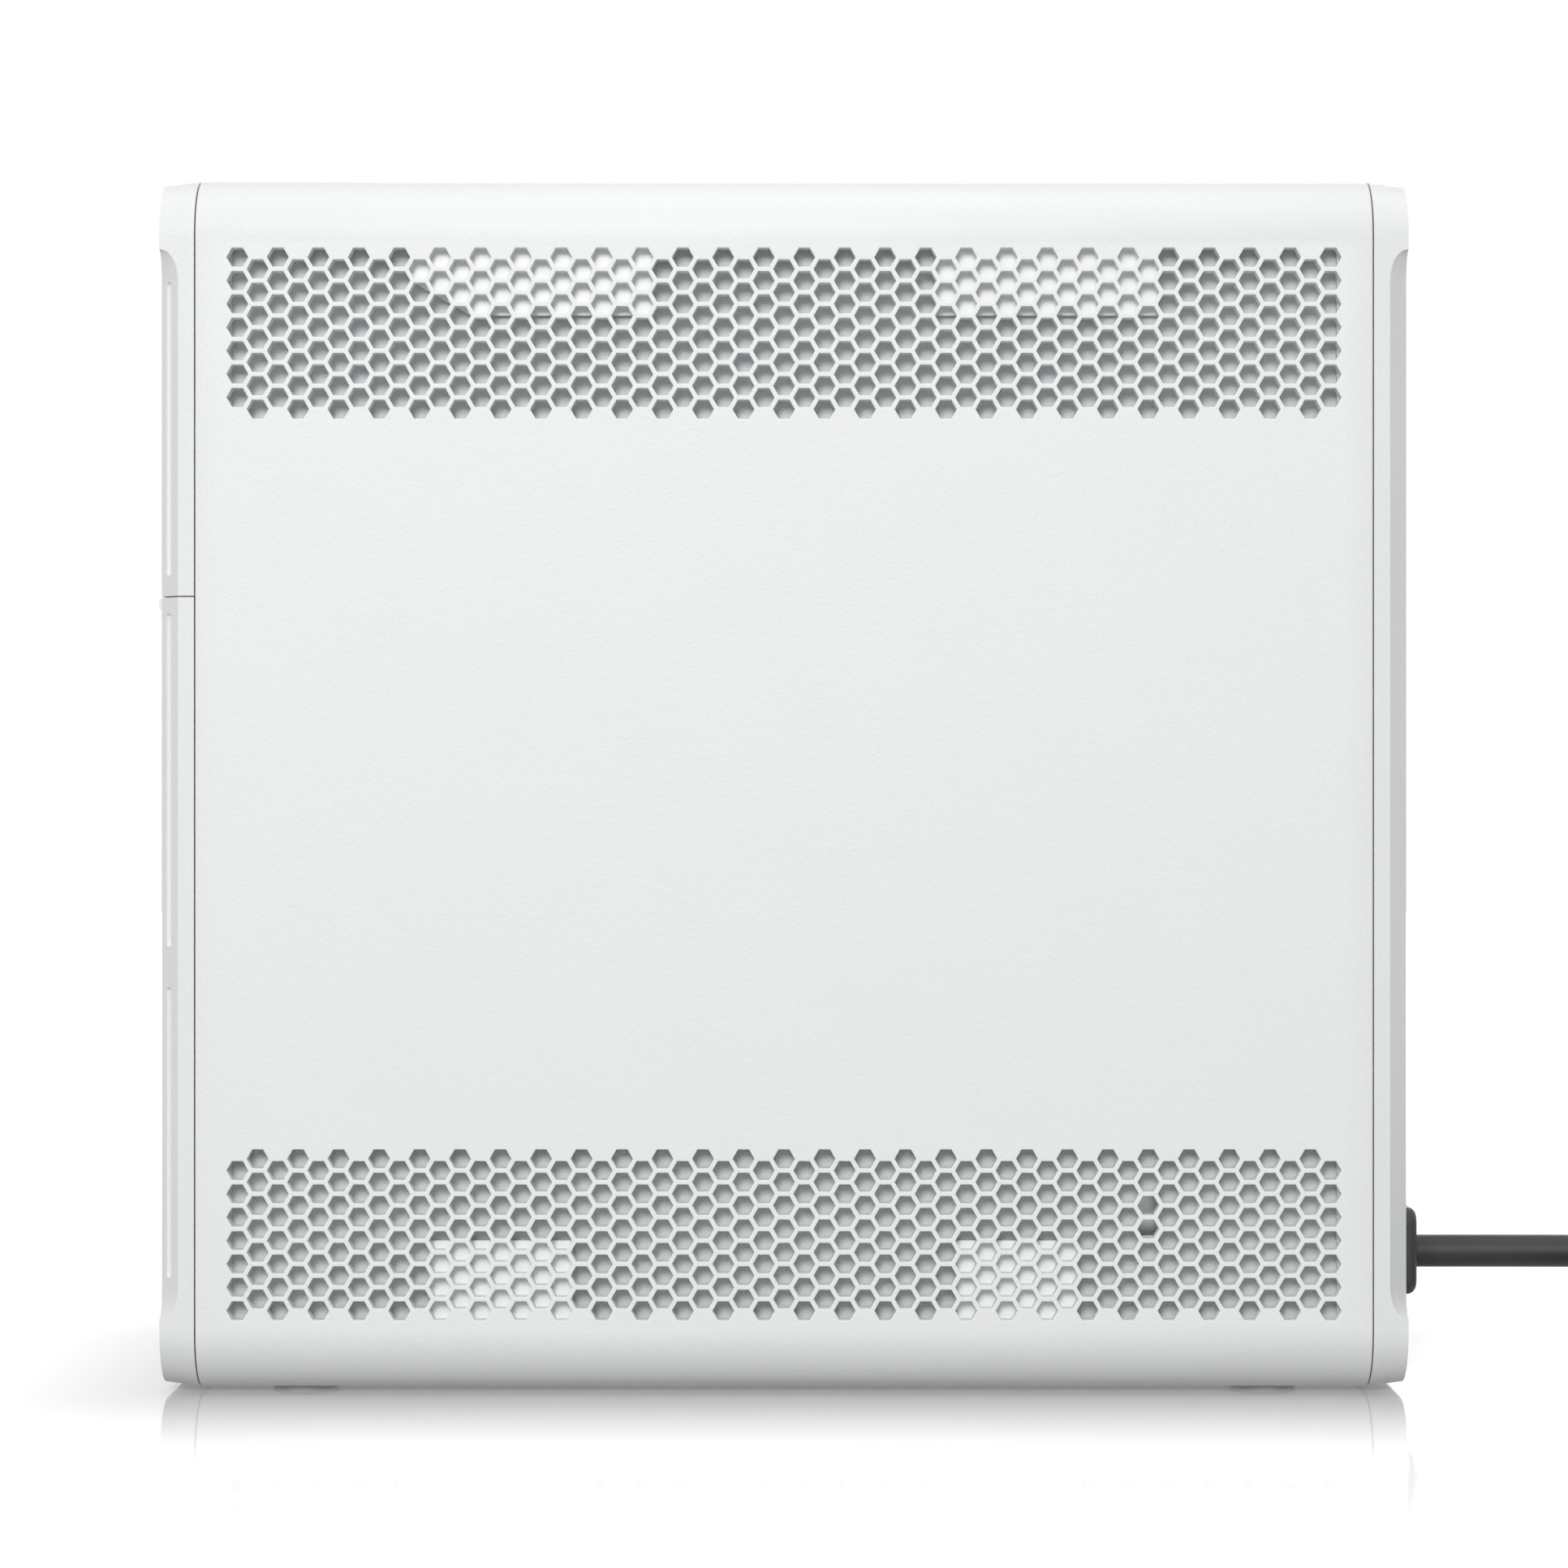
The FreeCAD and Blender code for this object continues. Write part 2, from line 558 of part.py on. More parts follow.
def jack_contacts():
    """Eight sprung contacts in each socket, on the wall across from the latch."""
    x1 = PANEL_OUT + JACK_PROUD
    y = BOARD_FACE - JACK[1] + JACK_WALL + JACK_SOCKET[1]
    combs = []
    for z in jack_places():
        for i in range(8):
            at = z + 1.02 * (i - 3.5)
            combs.append(box((x1 - JACK_SOCKET[0] + 0.5, x1 - 2.0), (y - 0.9, y), (at - 0.2, at + 0.2)))
    return combs


def rear_button(z):
    """A small push button: its cap passes through the rear panel and its collar stops behind it."""
    start = PANEL_X - REAR_BUTTON_BACK
    cap = rod((start, REAR_BUTTON_Y, z), REAR_BUTTON_RADIUS, PANEL_THICK + 2.2)
    collar = rod((start, REAR_BUTTON_Y, z), 3.8, 1.2)
    stem = rod((start, REAR_BUTTON_Y, z), 1.5, -REAR_STEM)
    return fused(cap, collar, stem)


def button_switches():
    """The two small switches behind the rear buttons, on the main board."""
    end = PANEL_X - REAR_BUTTON_BACK - REAR_STEM - REAR_TRAVEL - 0.2
    switches = []
    for z in REAR_BUTTONS.values():
        body = box((end - 5.0, end - 0.8), (REAR_BUTTON_Y - 3, BOARD_FACE), (z - 3.5, z + 3.5))
        switches.append(body.fuse(rod((end - 0.8, REAR_BUTTON_Y, z), 1.5, 0.8)))
    return switches


def power_button():
    """The round button on the front, with a collar behind the cover and a stem to its switch."""
    inner = -COVER_BACK
    cap = rod((inner + 0.3, 0, BUTTON_Z), BUTTON_RADIUS, -COVER_WALL - 0.8)
    collar = rod((inner + 0.3, 0, BUTTON_Z), BUTTON_RADIUS + 1.6, 1.4)
    stem = rod((inner + 0.3, 0, BUTTON_Z), 2.0, 3.2)
    return fused(cap, collar, stem)


def front_switch_board():
    """The small board behind the front frame, with the switch and the lights' driver."""
    board = box((-FRAME_X, -FRAME_X + BOARD_THICK), (-34, 34), (BAR_Z - 14, BUTTON_Z + 18))
    chip = box((-FRAME_X + BOARD_THICK, -FRAME_X + BOARD_THICK + 1), (8, 16), (BUTTON_Z - 4, BUTTON_Z + 4))
    socket = box((-FRAME_X + BOARD_THICK, -FRAME_X + BOARD_THICK + 5), (-20, -8), (BUTTON_Z - 3, BUTTON_Z + 3))
    return fused(board, chip, socket)


def power_switch():
    """The push switch under the power button's stem."""
    stem_end = -COVER_BACK + 3.5
    start = stem_end + BUTTON_TRAVEL + 0.3
    body = box((start + 1.0, -FRAME_X), (-3, 3), (BUTTON_Z - 3, BUTTON_Z + 3))
    return body.fuse(rod((start, 0, BUTTON_Z), 1.75, 1.0))


def status_light_bar():
    """The clear light guide in the upper cover."""
    half, tall = BAR_HALF - 0.1, BAR_TALL - 0.1
    front = box((-RIM - 0.1, -COVER_BACK), (-half, half), (BAR_Z - tall, BAR_Z + tall))
    back = box((-COVER_BACK, -HALF_LENGTH + 0.6), (-half - 1.6, half + 1.6), (BAR_Z - 3, BAR_Z + 3))
    return fused(front, back)


def status_lights():
    """Five light-emitting chips behind the light bar."""
    return [box((-FRAME_X - 0.8, -FRAME_X), (y - 1.6, y + 1.6), (BAR_Z - 1.4, BAR_Z + 1.4))
            for y in (-16, -8, 0, 8, 16)]


def dust_screens():
    """Four fine screens behind the grilles, each in a thin frame that touches the grille's edge."""
    screens = []
    for side in (-1, 1):
        back = side * (HALF_WIDTH - VENT_THICK)
        face = back - side * SCREEN_GAP
        for level in (-1, 1):
            z = sorted((MIDDLE + level * (VENT_LOW + 1), MIDDLE + level * (VENT_HIGH - 0.3)))
            y = sorted((face, face - side * SCREEN_THICK))
            plate = box((-VENT_HALF_LENGTH + 0.5, VENT_HALF_LENGTH - 0.5), y, z)
            y = sorted((back, face))
            rim = box((-VENT_HALF_LENGTH + 0.5, VENT_HALF_LENGTH - 0.5), y, z)
            rim = rim.cut(box((-VENT_HALF_LENGTH + 1.5, VENT_HALF_LENGTH - 1.5), y, (z[0] + 1.5, z[1] - 1.5)))
            screen = fused(plate, rim)
            if level < 0:
                through = sorted((face + side, face - side * (SCREEN_THICK + 1)))
                screen = screen.cut(box(SCREEN_WINDOW[0], through, edge_span(level, *SCREEN_WINDOW[1])))
            screens.append(screen)
    return screens


def edge_span(level, near, far):
    """Two heights measured in from the case's top (level 1) or bottom (level -1)."""
    return sorted(MIDDLE + level * (CASE_HEIGHT / 2 - inward) for inward in (near, far))


def antenna_boards():
    """Eight white antenna boards against the backs of the grilles."""
    boards = []
    for side in (-1, 1):
        back = side * (HALF_WIDTH - VENT_THICK)
        for level, spans in ANTENNAS.items():
            for span in spans:
                z = edge_span(level, ANTENNA_OUTER, ANTENNA_INNER[level])
                board = box(span, sorted((back, back - side * ANTENNA_THICK)), z)
                if level > 0 and span[0] < -90:
                    board = board.cut(corner_wedge(span[0], back, side, z[0]))
                boards.append(board)
    return boards


def corner_wedge(x, back, side, z):
    """The slanted corner of the front upper antenna board."""
    wide, tall = ANTENNA_CORNER
    points = [V(x - 1, back + side, z - 1), V(x + wide, back + side, z - 1), V(x + wide, back + side, z),
              V(x, back + side, z + tall), V(x - 1, back + side, z + tall)]
    return Part.Face(Part.makePolygon(points + points[:1])).extrude(V(0, -side * (ANTENNA_THICK + 2), 0))


def antenna_elements():
    """The copper radiators on the inner faces of the antenna boards."""
    traces = []
    for side in (-1, 1):
        face = side * (HALF_WIDTH - VENT_THICK - ANTENNA_THICK)
        for level, spans in ANTENNAS.items():
            for a, b in spans:
                z = edge_span(level, ANTENNA_OUTER + 3, ANTENNA_INNER[level] - 10)
                y = sorted((face, face - side * ELEMENT_THICK))
                strip = box((a + 3, b - 3), y, (z[0] + 2, z[1]))
                traces.append(strip)
    return traces


def chassis_tray():
    """The folded steel tray: a floor on the sleeve's posts and an upright wall for the main board."""
    floor_y = (-TRAY_HALF_WIDTH, TRAY_HALF_WIDTH)
    floor = box((-FRAME_X + 4, PANEL_X - 4), floor_y, (TRAY_Z, TRAY_Z + TRAY_THICK))
    y = BOARD_FACE + BOARD_THICK + STAND_OFF
    wall = box(TRAY_WALL, (y, y + TRAY_THICK), (TRAY_Z, TRAY_TOP))
    flange = box(TRAY_WALL, (y, y + 12), (TRAY_TOP - TRAY_THICK, TRAY_TOP))
    holes = [rod((x, y - 1, z), 6.0, TRAY_THICK + 2, "y") for x in range(-90, 91, 30) for z in (24, 44)]
    return drilled(fused(floor, wall, flange), holes)


def board_places():
    """The main board's six screw places."""
    return [(x, z) for x in BOARD_SCREWS[0] for z in BOARD_SCREWS[1]]


def main_board():
    """The main circuit board, with a lower tab that carries the sockets."""
    y = BOARD_FACE
    (front, back), (low, high) = MAIN_BOARD
    body = box((front, back), (y, y + BOARD_THICK), (low, high))
    tab = box((back, PANEL_X - 1.5), (y, y + BOARD_THICK), (low, EXHAUST_Z - FAN / 2 - 2))
    holes = [rod((x, y - 1, z), SCREW_RADIUS + 0.1, 4, "y") for x, z in board_places()]
    return drilled(fused(body, tab), holes)


def board_standoffs():
    """Six threaded pillars behind the main board and two that hold the radio card off it."""
    y = BOARD_FACE + BOARD_THICK
    pillars = []
    for x, z in board_places():
        bore = rod((x, y - 1, z), SCREW_RADIUS, STAND_OFF + 2, "y")
        pillars.append(rod((x, y, z), 3.0, STAND_OFF, "y").cut(bore))
    (x0, x1), (_, card), (_, top) = RADIO_CARD
    return pillars + [rod((x, card, top - 6), 2.5, BOARD_FACE - card, "y") for x in (x0 + 6, x1 - 6)]


def board_screws():
    """Six screws that hold the main board on its pillars."""
    screws = []
    for x, z in board_places():
        head = rod((x, BOARD_FACE, z), HEAD_RADIUS, -HEAD_HEIGHT, "y")
        screws.append(head.fuse(rod((x, BOARD_FACE, z), SCREW_RADIUS, 5.5, "y")))
    return screws


def processor():
    """The main chip."""
    return box(PROCESSOR[0], (BOARD_FACE - PROCESSOR_TALL, BOARD_FACE), PROCESSOR[1])


def processor_heat_sink():
    """The finned aluminium block on the main chip."""
    y = BOARD_FACE - PROCESSOR_TALL
    across, (low, high) = HEAT_SINK
    base = box(across, (y - SINK_BASE, y), (low, high))
    starts = [low + SINK_PITCH * i for i in range(SINK_FINS)]
    fins = [box(across, (y - SINK_TALL, y - SINK_BASE), (z, z + SINK_FIN)) for z in starts]
    return fused(base, *fins)


def memory_chips():
    """Four memory chips in a row."""
    across, bottoms, tall, thick = MEMORY
    return [box(across, (BOARD_FACE - thick, BOARD_FACE), (z, z + tall)) for z in bottoms]


def shield_cans():
    """Three sheet-metal cans over the radio circuits."""
    cans = []
    wide, tall, deep = CAN
    t = CAN_WALL
    for x, z in CANS:
        outer = box((x, x + wide), (BOARD_FACE - deep, BOARD_FACE), (z, z + tall))
        inner = box((x + t, x + wide - t), (BOARD_FACE - deep + t, BOARD_FACE), (z + t, z + tall - t))
        cans.append(outer.cut(inner))
    return cans


def radio_board():
    """The plug-in radio card, on its own socket above the processor."""
    (x0, _), (near, far), (low, high) = RADIO_CARD
    card = box(*RADIO_CARD)
    socket = box((x0 + 50, x0 + 80), (far, BOARD_FACE), (low + 2, low + 8))
    can = box((x0 + 10, x0 + 50), (near - 3.5, near), (low + 10, high - 6))
    return fused(card, socket, can)


def board_parts():
    """The main board's power header, and the capacitors and coils beside it."""
    header = SUPPLY[0][0] - 14
    parts = [rod((x, BOARD_FACE, z), 4.0, -10.0, "y") for x in (58, 72, 86) for z in (84, 96)]
    parts += [box((x, x + 10), (BOARD_FACE - 5, BOARD_FACE), (z, z + 10)) for x in (20, 34) for z in (84, 98)]
    return parts + [box((header - 6, header + 6), (9, BOARD_FACE), (86, 98))]


def power_supply_case():
    """The steel box of the internal mains supply, vented at its front and side."""
    (x0, x1), (y0, y1), (z0, z1) = SUPPLY
    case = box(*SUPPLY).cut(box((x0 + 1, x1 - 1), (y0 + 1, y1 - 1), (z0 + 1, z1 - 1)))
    slots = [box((x0 + 8 + 7 * i, x0 + 11 + 7 * i), (y0 - 1, y0 + 2), (z0 + 12, z1 - 8)) for i in range(8)]
    slots.append(rod((x1 - 3, 0, INLET_Z - 0.7), 7.5, 6))
    slots.append(rod((x0 - 3, *SUPPLY_OUTLET), 5.0, 6))
    return drilled(case, slots)


def power_board():
    """The supply's circuit board, on four short pillars."""
    (x0, x1), (y0, y1), (z0, _) = SUPPLY
    board = box((x0 + 3, x1 - 3), (y0 + 3, y1 - 3), (SUPPLY_FLOOR - BOARD_THICK, SUPPLY_FLOOR))
    legs = [rod((x, y, z0 + 1), 2.5, 4.0, "z") for x in (x0 + 7, x1 - 7) for y in (y0 + 7, y1 - 7)]
    return fused(board, *legs)


def transformer():
    """The supply's ferrite transformer."""
    z = SUPPLY_FLOOR
    core = box((54, 82), (-20, 6), (z, z + 26))
    return fused(core, box((57, 79), (-24, 10), (z + 4, z + 22)))


def bulk_capacitors():
    """Two mains capacitors."""
    z = SUPPLY_FLOOR
    return [rod((98, y, z), 9.0, 32.0, "z") for y in (-30, -9)]


def power_heat_sinks():
    """Two aluminium plates that cool the supply's transistors."""
    z = SUPPLY_FLOOR
    return [box((50, 86), (y, y + 2.5), (z, z + 30)) for y in (-34, -28)]


def mains_choke():
    """The ring-shaped filter coil at the supply's mains end."""
    z = SUPPLY_FLOOR
    coil = Part.makeTorus(7.0, 3.5)
    coil.rotate(V(0, 0, 0), V(0, 1, 0), 90)
    coil.translate(V(40, -12, z + 10.5))
    return coil


def rear_panel():
    """The steel plate across the sleeve's rear mouth, cut out for everything that shows there."""
    plate = slab(WALL + FIT, PANEL_X, PANEL_OUT)
    a, b = PANEL_X - 1, PANEL_OUT + 1
    holes = [rod((a, y, z), SCREW_RADIUS + HOLE, b - a) for y, z in BOSSES + fan_corners(EXHAUST_Z)]
    for radius in (16, 23, 30, 37):
        count = int(2 * math.pi * radius / 6.6)
        for i in range(count):
            angle = 2 * math.pi * i / count
            holes.append(rod((a, radius * math.cos(angle), EXHAUST_Z + radius * math.sin(angle)), 2.5, b - a))
    gap = 0.3
    for z in jack_places():
        half = JACK[2] / 2 + gap
        holes.append(box((a, b), (BOARD_FACE - JACK[1] - gap, BOARD_FACE + gap), (z - half, z + half)))
    for z in REAR_BUTTONS.values():
        holes.append(rod((a, REAR_BUTTON_Y, z), REAR_BUTTON_RADIUS + 0.3, b - a))
    holes.append(box((a, b), (-16, 16), (INLET_Z - 11.5, INLET_Z + 11.5)))
    holes += [rod((a, y, INLET_Z), SCREW_RADIUS + HOLE, b - a) for y in (-INLET_SCREW_Y, INLET_SCREW_Y)]
    return drilled(plate, holes)


def power_inlet():
    """The mains inlet, screwed to the rear panel, with its cavity towards the rear."""
    x = PANEL_OUT
    flange = box((x, x + INLET_FLANGE), (-25, 25), (INLET_Z - 12.5, INLET_Z + 12.5))
    body = box((x - 17, x), (-15.7, 15.7), (INLET_Z - 11.2, INLET_Z + 11.2))
    wide, tall = INLET_CAVITY
    mouth = x + INLET_FLANGE
    height = (INLET_Z - tall / 2, INLET_Z + tall / 2)
    cavity = box((mouth - INLET_DEPTH, mouth + 1), (-wide / 2, wide / 2), height)
    holes = [cavity]
    for y in (-INLET_SCREW_Y, INLET_SCREW_Y):
        holes.append(rod((x - 1, y, INLET_Z), SCREW_RADIUS + HOLE, INLET_FLANGE + 2))
    for blade in pin_blades():
        holes.append(blade)
    return drilled(fused(flange, body), holes)


def pin_blades():
    """The inlet's three contact blades, from the solder tags to their tips."""
    x = PANEL_OUT + INLET_FLANGE
    return [box((x - 25, x - 2.5), (y - 2.0, y + 2.0), (INLET_Z + dz - 1, INLET_Z + dz + 1))
            for y, dz in INLET_BLADES]


def inlet_pins():
    """The inlet's three contact blades."""
    return pin_blades()


def inlet_screws():
    """Two screws that hold the inlet on the rear panel."""
    return [screw(PANEL_OUT + INLET_FLANGE, y, INLET_Z, -1, 8.0) for y in (-INLET_SCREW_Y, INLET_SCREW_Y)]


def appliance_connector():
    """The moulded plug in the inlet, and the boot that the cord leaves."""
    x = PANEL_OUT + INLET_FLANGE
    end = CORD_ROUTE[0][0]
    wide, tall = BOOT
    boot = box((x, end), (-wide / 2, wide / 2), (INLET_Z - tall / 2, INLET_Z + tall / 2))
    edges = [e for e in boot.Edges if abs(e.Vertexes[0].X - e.Vertexes[1].X) > 1]
    boot = boot.makeFillet(4.0, edges)
    edges = [e for e in boot.Edges if min(v.X for v in e.Vertexes) > end - 0.01]
    boot = boot.makeFillet(2.4, edges)
    nose_wide, nose_tall = INLET_CAVITY[0] - 0.8, INLET_CAVITY[1] - 0.8
    nose_height = (INLET_Z - nose_tall / 2, INLET_Z + nose_tall / 2)
    nose = box((x - INLET_DEPTH + 0.5, x), (-nose_wide / 2, nose_wide / 2), nose_height)
    slots = [box((x - INLET_DEPTH, x - 2.0), (y - 2.3, y + 2.3), (INLET_Z + dz - 1.3, INLET_Z + dz + 1.3))
             for y, dz in INLET_BLADES]
    return drilled(fused(boot, nose), slots)


def tube(points, diameter):
    """A round tube along straight runs that tangent arcs join; prints the arcs' radii."""
    points = [V(*p) for p in points]
    start, edges, radii = points[0], [], []
    for before, corner, after in zip(points, points[1:], points[2:]):
        into, out = corner - before, after - corner
        turn = into.getAngle(out)
        reach = 0.45 * min(into.Length, out.Length)
        a = corner - into.normalize() * reach
        b = corner + out.normalize() * reach
        inward = ((a - corner).normalize() + (b - corner).normalize()).normalize()
        radius = reach / math.tan(turn / 2)
        middle = corner + inward * (radius / math.cos(turn / 2) - radius)
        radii.append(round(radius, 1))
        edges.append(Part.LineSegment(start, a).toShape())
        edges.append(Part.Arc(a, middle, b).toShape())
        start = b
    edges.append(Part.LineSegment(start, points[-1]).toShape())
    path = Part.Wire(edges)
    way = points[1] - points[0]
    section = Part.Wire(Part.makeCircle(diameter / 2, points[0], way))
    solid = path.makePipeShell([section], True, True, 2)
    ratio = solid.Volume / (math.pi * diameter ** 2 / 4 * path.Length)
    print("cord arc radii", radii, "length", round(path.Length, 1), "volume ratio", round(ratio, 4))
    return solid


def coil_profile(grow, angle):
    """The rounded section of the coil's bundle of turns, grown outwards, at an angle round the coil."""
    low = TIE - grow
    high = TIE + COIL_LEVELS * CORD + grow
    inner = COIL_LANES[0] - CORD / 2 - grow
    outer = COIL_LANES[1] + CORD / 2 + grow
    r = CORD / 2 + grow
    k = r * (1 - math.sqrt(0.5))
    turn = math.radians(angle)

    def at(radius, z):
        return V(COIL_CENTRE[0] + radius * math.cos(turn), COIL_CENTRE[1] + radius * math.sin(turn), z)

    arcs = [(at(inner, low + r), at(inner + k, low + k), at(inner + r, low)),
            (at(outer - r, low), at(outer - k, low + k), at(outer, low + r)),
            (at(outer, high - r), at(outer - k, high - k), at(outer - r, high)),
            (at(inner + r, high), at(inner + k, high - k), at(inner, high - r))]
    edges = []
    for i, arc in enumerate(arcs):
        edges.append(Part.Arc(*arc).toShape())
        edges.append(Part.LineSegment(arc[2], arcs[(i + 1) % 4][0]).toShape())
    return Part.Face(Part.Wire(edges))


def cord_coil():
    """The outer shape of the coiled part of the cord."""
    centre = V(COIL_CENTRE[0], COIL_CENTRE[1], 0)
    return coil_profile(0, 0).revolve(centre, V(0, 0, 1), 360)


def cord_tie():
    """The strap round the coil's bundle of turns."""
    centre = V(COIL_CENTRE[0], COIL_CENTRE[1], 0)
    band = coil_profile(TIE, -144).revolve(centre, V(0, 0, 1), 18)
    return band.cut(coil_profile(0, -150).revolve(centre, V(0, 0, 1), 30))


def power_cord():
    """The cord from the appliance connector to the coil."""
    whole = tube(CORD_ROUTE, CORD).cut(cord_coil())
    return min(whole.Solids, key=lambda s: s.CenterOfMass.x)


def cord_tail():
    """The cord from the coil to the wall plug."""
    whole = tube(TAIL_ROUTE, CORD).cut(cord_coil())
    return max(whole.Solids, key=lambda s: s.CenterOfMass.x)


def plug_turn():
    """The plug's direction on the floor, which is that of the cord's last run, in degrees."""
    (x0, y0, _), (x1, y1, _) = TAIL_ROUTE[-2:]
    return math.degrees(math.atan2(y1 - y0, x1 - x0))


def wall_plug():
    """The moulded mains plug, lying beside the coil."""
    wide, deep, tall = PLUG
    body = box((0, deep), (-wide / 2, wide / 2), (-tall / 2, tall / 2))
    body = body.makeFillet(3.0, [e for e in body.Edges if abs(e.Vertexes[0].X - e.Vertexes[1].X) > 1])
    return placed_plug(body)


def plug_blades():
    """The plug's two flat blades and round earth pin."""
    deep = PLUG[1]
    pins = [box((deep, deep + 16), (y - 0.75, y + 0.75), (-3.2 - 3.0, 3.2 - 3.0)) for y in (-6.35, 6.35)]
    pins.append(rod((deep, 0, 5.0), 2.4, 19.0))
    return [placed_plug(pin) for pin in pins]


def placed_plug(solid):
    """A piece of the plug, moved from the origin to the end of the cord."""
    solid.rotate(V(0, 0, 0), V(0, 0, 1), plug_turn())
    solid.translate(V(*TAIL_ROUTE[-1]))
    return solid


def inlet_leads():
    """Three wires from the inlet's tags into the supply's case."""
    x = PANEL_OUT + INLET_FLANGE - 25
    case = SUPPLY[0][1] - 3
    return [rod((x, y * 0.75, INLET_Z + dz), 0.9, case - x) for y, dz in INLET_BLADES]


def supply_lead():
    """The low-voltage cable from the supply up to the main board's header."""
    x = SUPPLY[0][0]
    y, z = SUPPLY_OUTLET
    return tube(((x, y, z), (x - 14, y, z), (x - 14, y, z + 40), (x - 14, 9, z + 40)), 4.0)


NODES = {
    "outer_sleeve": outer_sleeve, "vent_grilles": vent_grilles, "rubber_feet": rubber_feet,
    "front_frame": front_frame, "front_upper_cover": front_upper_cover,
    "front_lower_door": front_lower_door, "door_filter": door_filter,
    "door_catch_studs": door_catch_studs, "door_catch_sockets": door_catch_sockets,
    "power_button": power_button, "power_switch": power_switch,
    "front_switch_board": front_switch_board, "status_light_bar": status_light_bar,
    "status_lights": status_lights, "rear_bezel": rear_bezel, "rear_panel": rear_panel,
    "case_screws": case_screws, "cover_screws": cover_screws, "fan_screws": fan_screws,
    "exhaust_fan_frame": exhaust_fan_frame, "exhaust_fan_rotor": exhaust_fan_rotor,
    "intake_fan_frame": intake_fan_frame, "intake_fan_rotor": intake_fan_rotor,
    "dust_screens": dust_screens, "antenna_boards": antenna_boards,
    "antenna_elements": antenna_elements, "chassis_tray": chassis_tray, "main_board": main_board,
    "board_standoffs": board_standoffs, "board_screws": board_screws, "board_parts": board_parts,
    "processor": processor, "processor_heat_sink": processor_heat_sink,
    "memory_chips": memory_chips, "shield_cans": shield_cans, "radio_board": radio_board,
    "lan_jacks": lan_jacks, "wan_jack": wan_jack,
    "jack_contacts": jack_contacts, "button_switches": button_switches,
    "power_supply_case": power_supply_case, "power_board": power_board,
    "transformer": transformer, "bulk_capacitors": bulk_capacitors,
    "power_heat_sinks": power_heat_sinks, "mains_choke": mains_choke,
    "power_inlet": power_inlet, "inlet_pins": inlet_pins, "inlet_screws": inlet_screws,
    "inlet_leads": inlet_leads, "supply_lead": supply_lead,
    "appliance_connector": appliance_connector, "power_cord": power_cord,
    "cord_coil": cord_coil, "cord_tail": cord_tail, "cord_tie": cord_tie,
    "wall_plug": wall_plug, "plug_blades": plug_blades,
}


def write(name, made):
    """Writes one node's solids, after checking that they are sound."""
    solids = [s for shape in (made if isinstance(made, list) else [made]) for s in shape.Solids]
    for solid in solids:
        if not solid.isValid() or solid.Volume <= 0:
            print("unsound solid in", name)
    shape = solids[0] if len(solids) == 1 else Part.makeCompound(solids)
    shape.exportStep(f"parts/{name}.step")
    print(name, len(solids), "solids")


os.makedirs("parts", exist_ok=True)
for node, make in NODES.items():
    write(node, make())
for node, height in REAR_BUTTONS.items():
    write(node, rear_button(height))
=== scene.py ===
"""Looks for a tower-shaped wireless router: meshes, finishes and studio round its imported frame.

Each sub-assembly is a class that builds its pieces and dresses its nodes. Lengths are metres.
"""
import logging
import math
from dataclasses import dataclass, field
from enum import Enum
from typing import Any, Callable, Sequence

import bmesh
import bpy
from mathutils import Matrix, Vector

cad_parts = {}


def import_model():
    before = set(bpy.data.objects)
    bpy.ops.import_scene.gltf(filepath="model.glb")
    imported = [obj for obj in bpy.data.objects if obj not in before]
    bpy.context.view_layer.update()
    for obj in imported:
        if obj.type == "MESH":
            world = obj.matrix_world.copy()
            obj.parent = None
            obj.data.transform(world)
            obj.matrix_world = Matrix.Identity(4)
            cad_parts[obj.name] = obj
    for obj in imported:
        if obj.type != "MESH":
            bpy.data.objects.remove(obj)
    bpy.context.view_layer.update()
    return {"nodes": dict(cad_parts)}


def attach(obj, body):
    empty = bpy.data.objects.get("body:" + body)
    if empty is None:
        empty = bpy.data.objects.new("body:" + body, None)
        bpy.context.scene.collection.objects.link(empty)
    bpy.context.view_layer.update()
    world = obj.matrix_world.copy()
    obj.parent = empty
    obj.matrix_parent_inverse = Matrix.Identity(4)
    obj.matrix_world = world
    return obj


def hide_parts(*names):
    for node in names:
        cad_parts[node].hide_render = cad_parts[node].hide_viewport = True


LOG = logging.getLogger("router")
MM = 0.001
CLOSE = 0.01 * MM            # how near two places count as the same
Colour = tuple[float, float, float]


def rgba(colour: Colour) -> tuple[float, float, float, float]:
    """Gives a colour its opaque fourth value."""
    return (*colour, 1.0)


def grey(value: float) -> Colour:
    """Makes a neutral colour of one value."""
    return (value, value, value)


# ---------------------------------------------------------------- shader maths


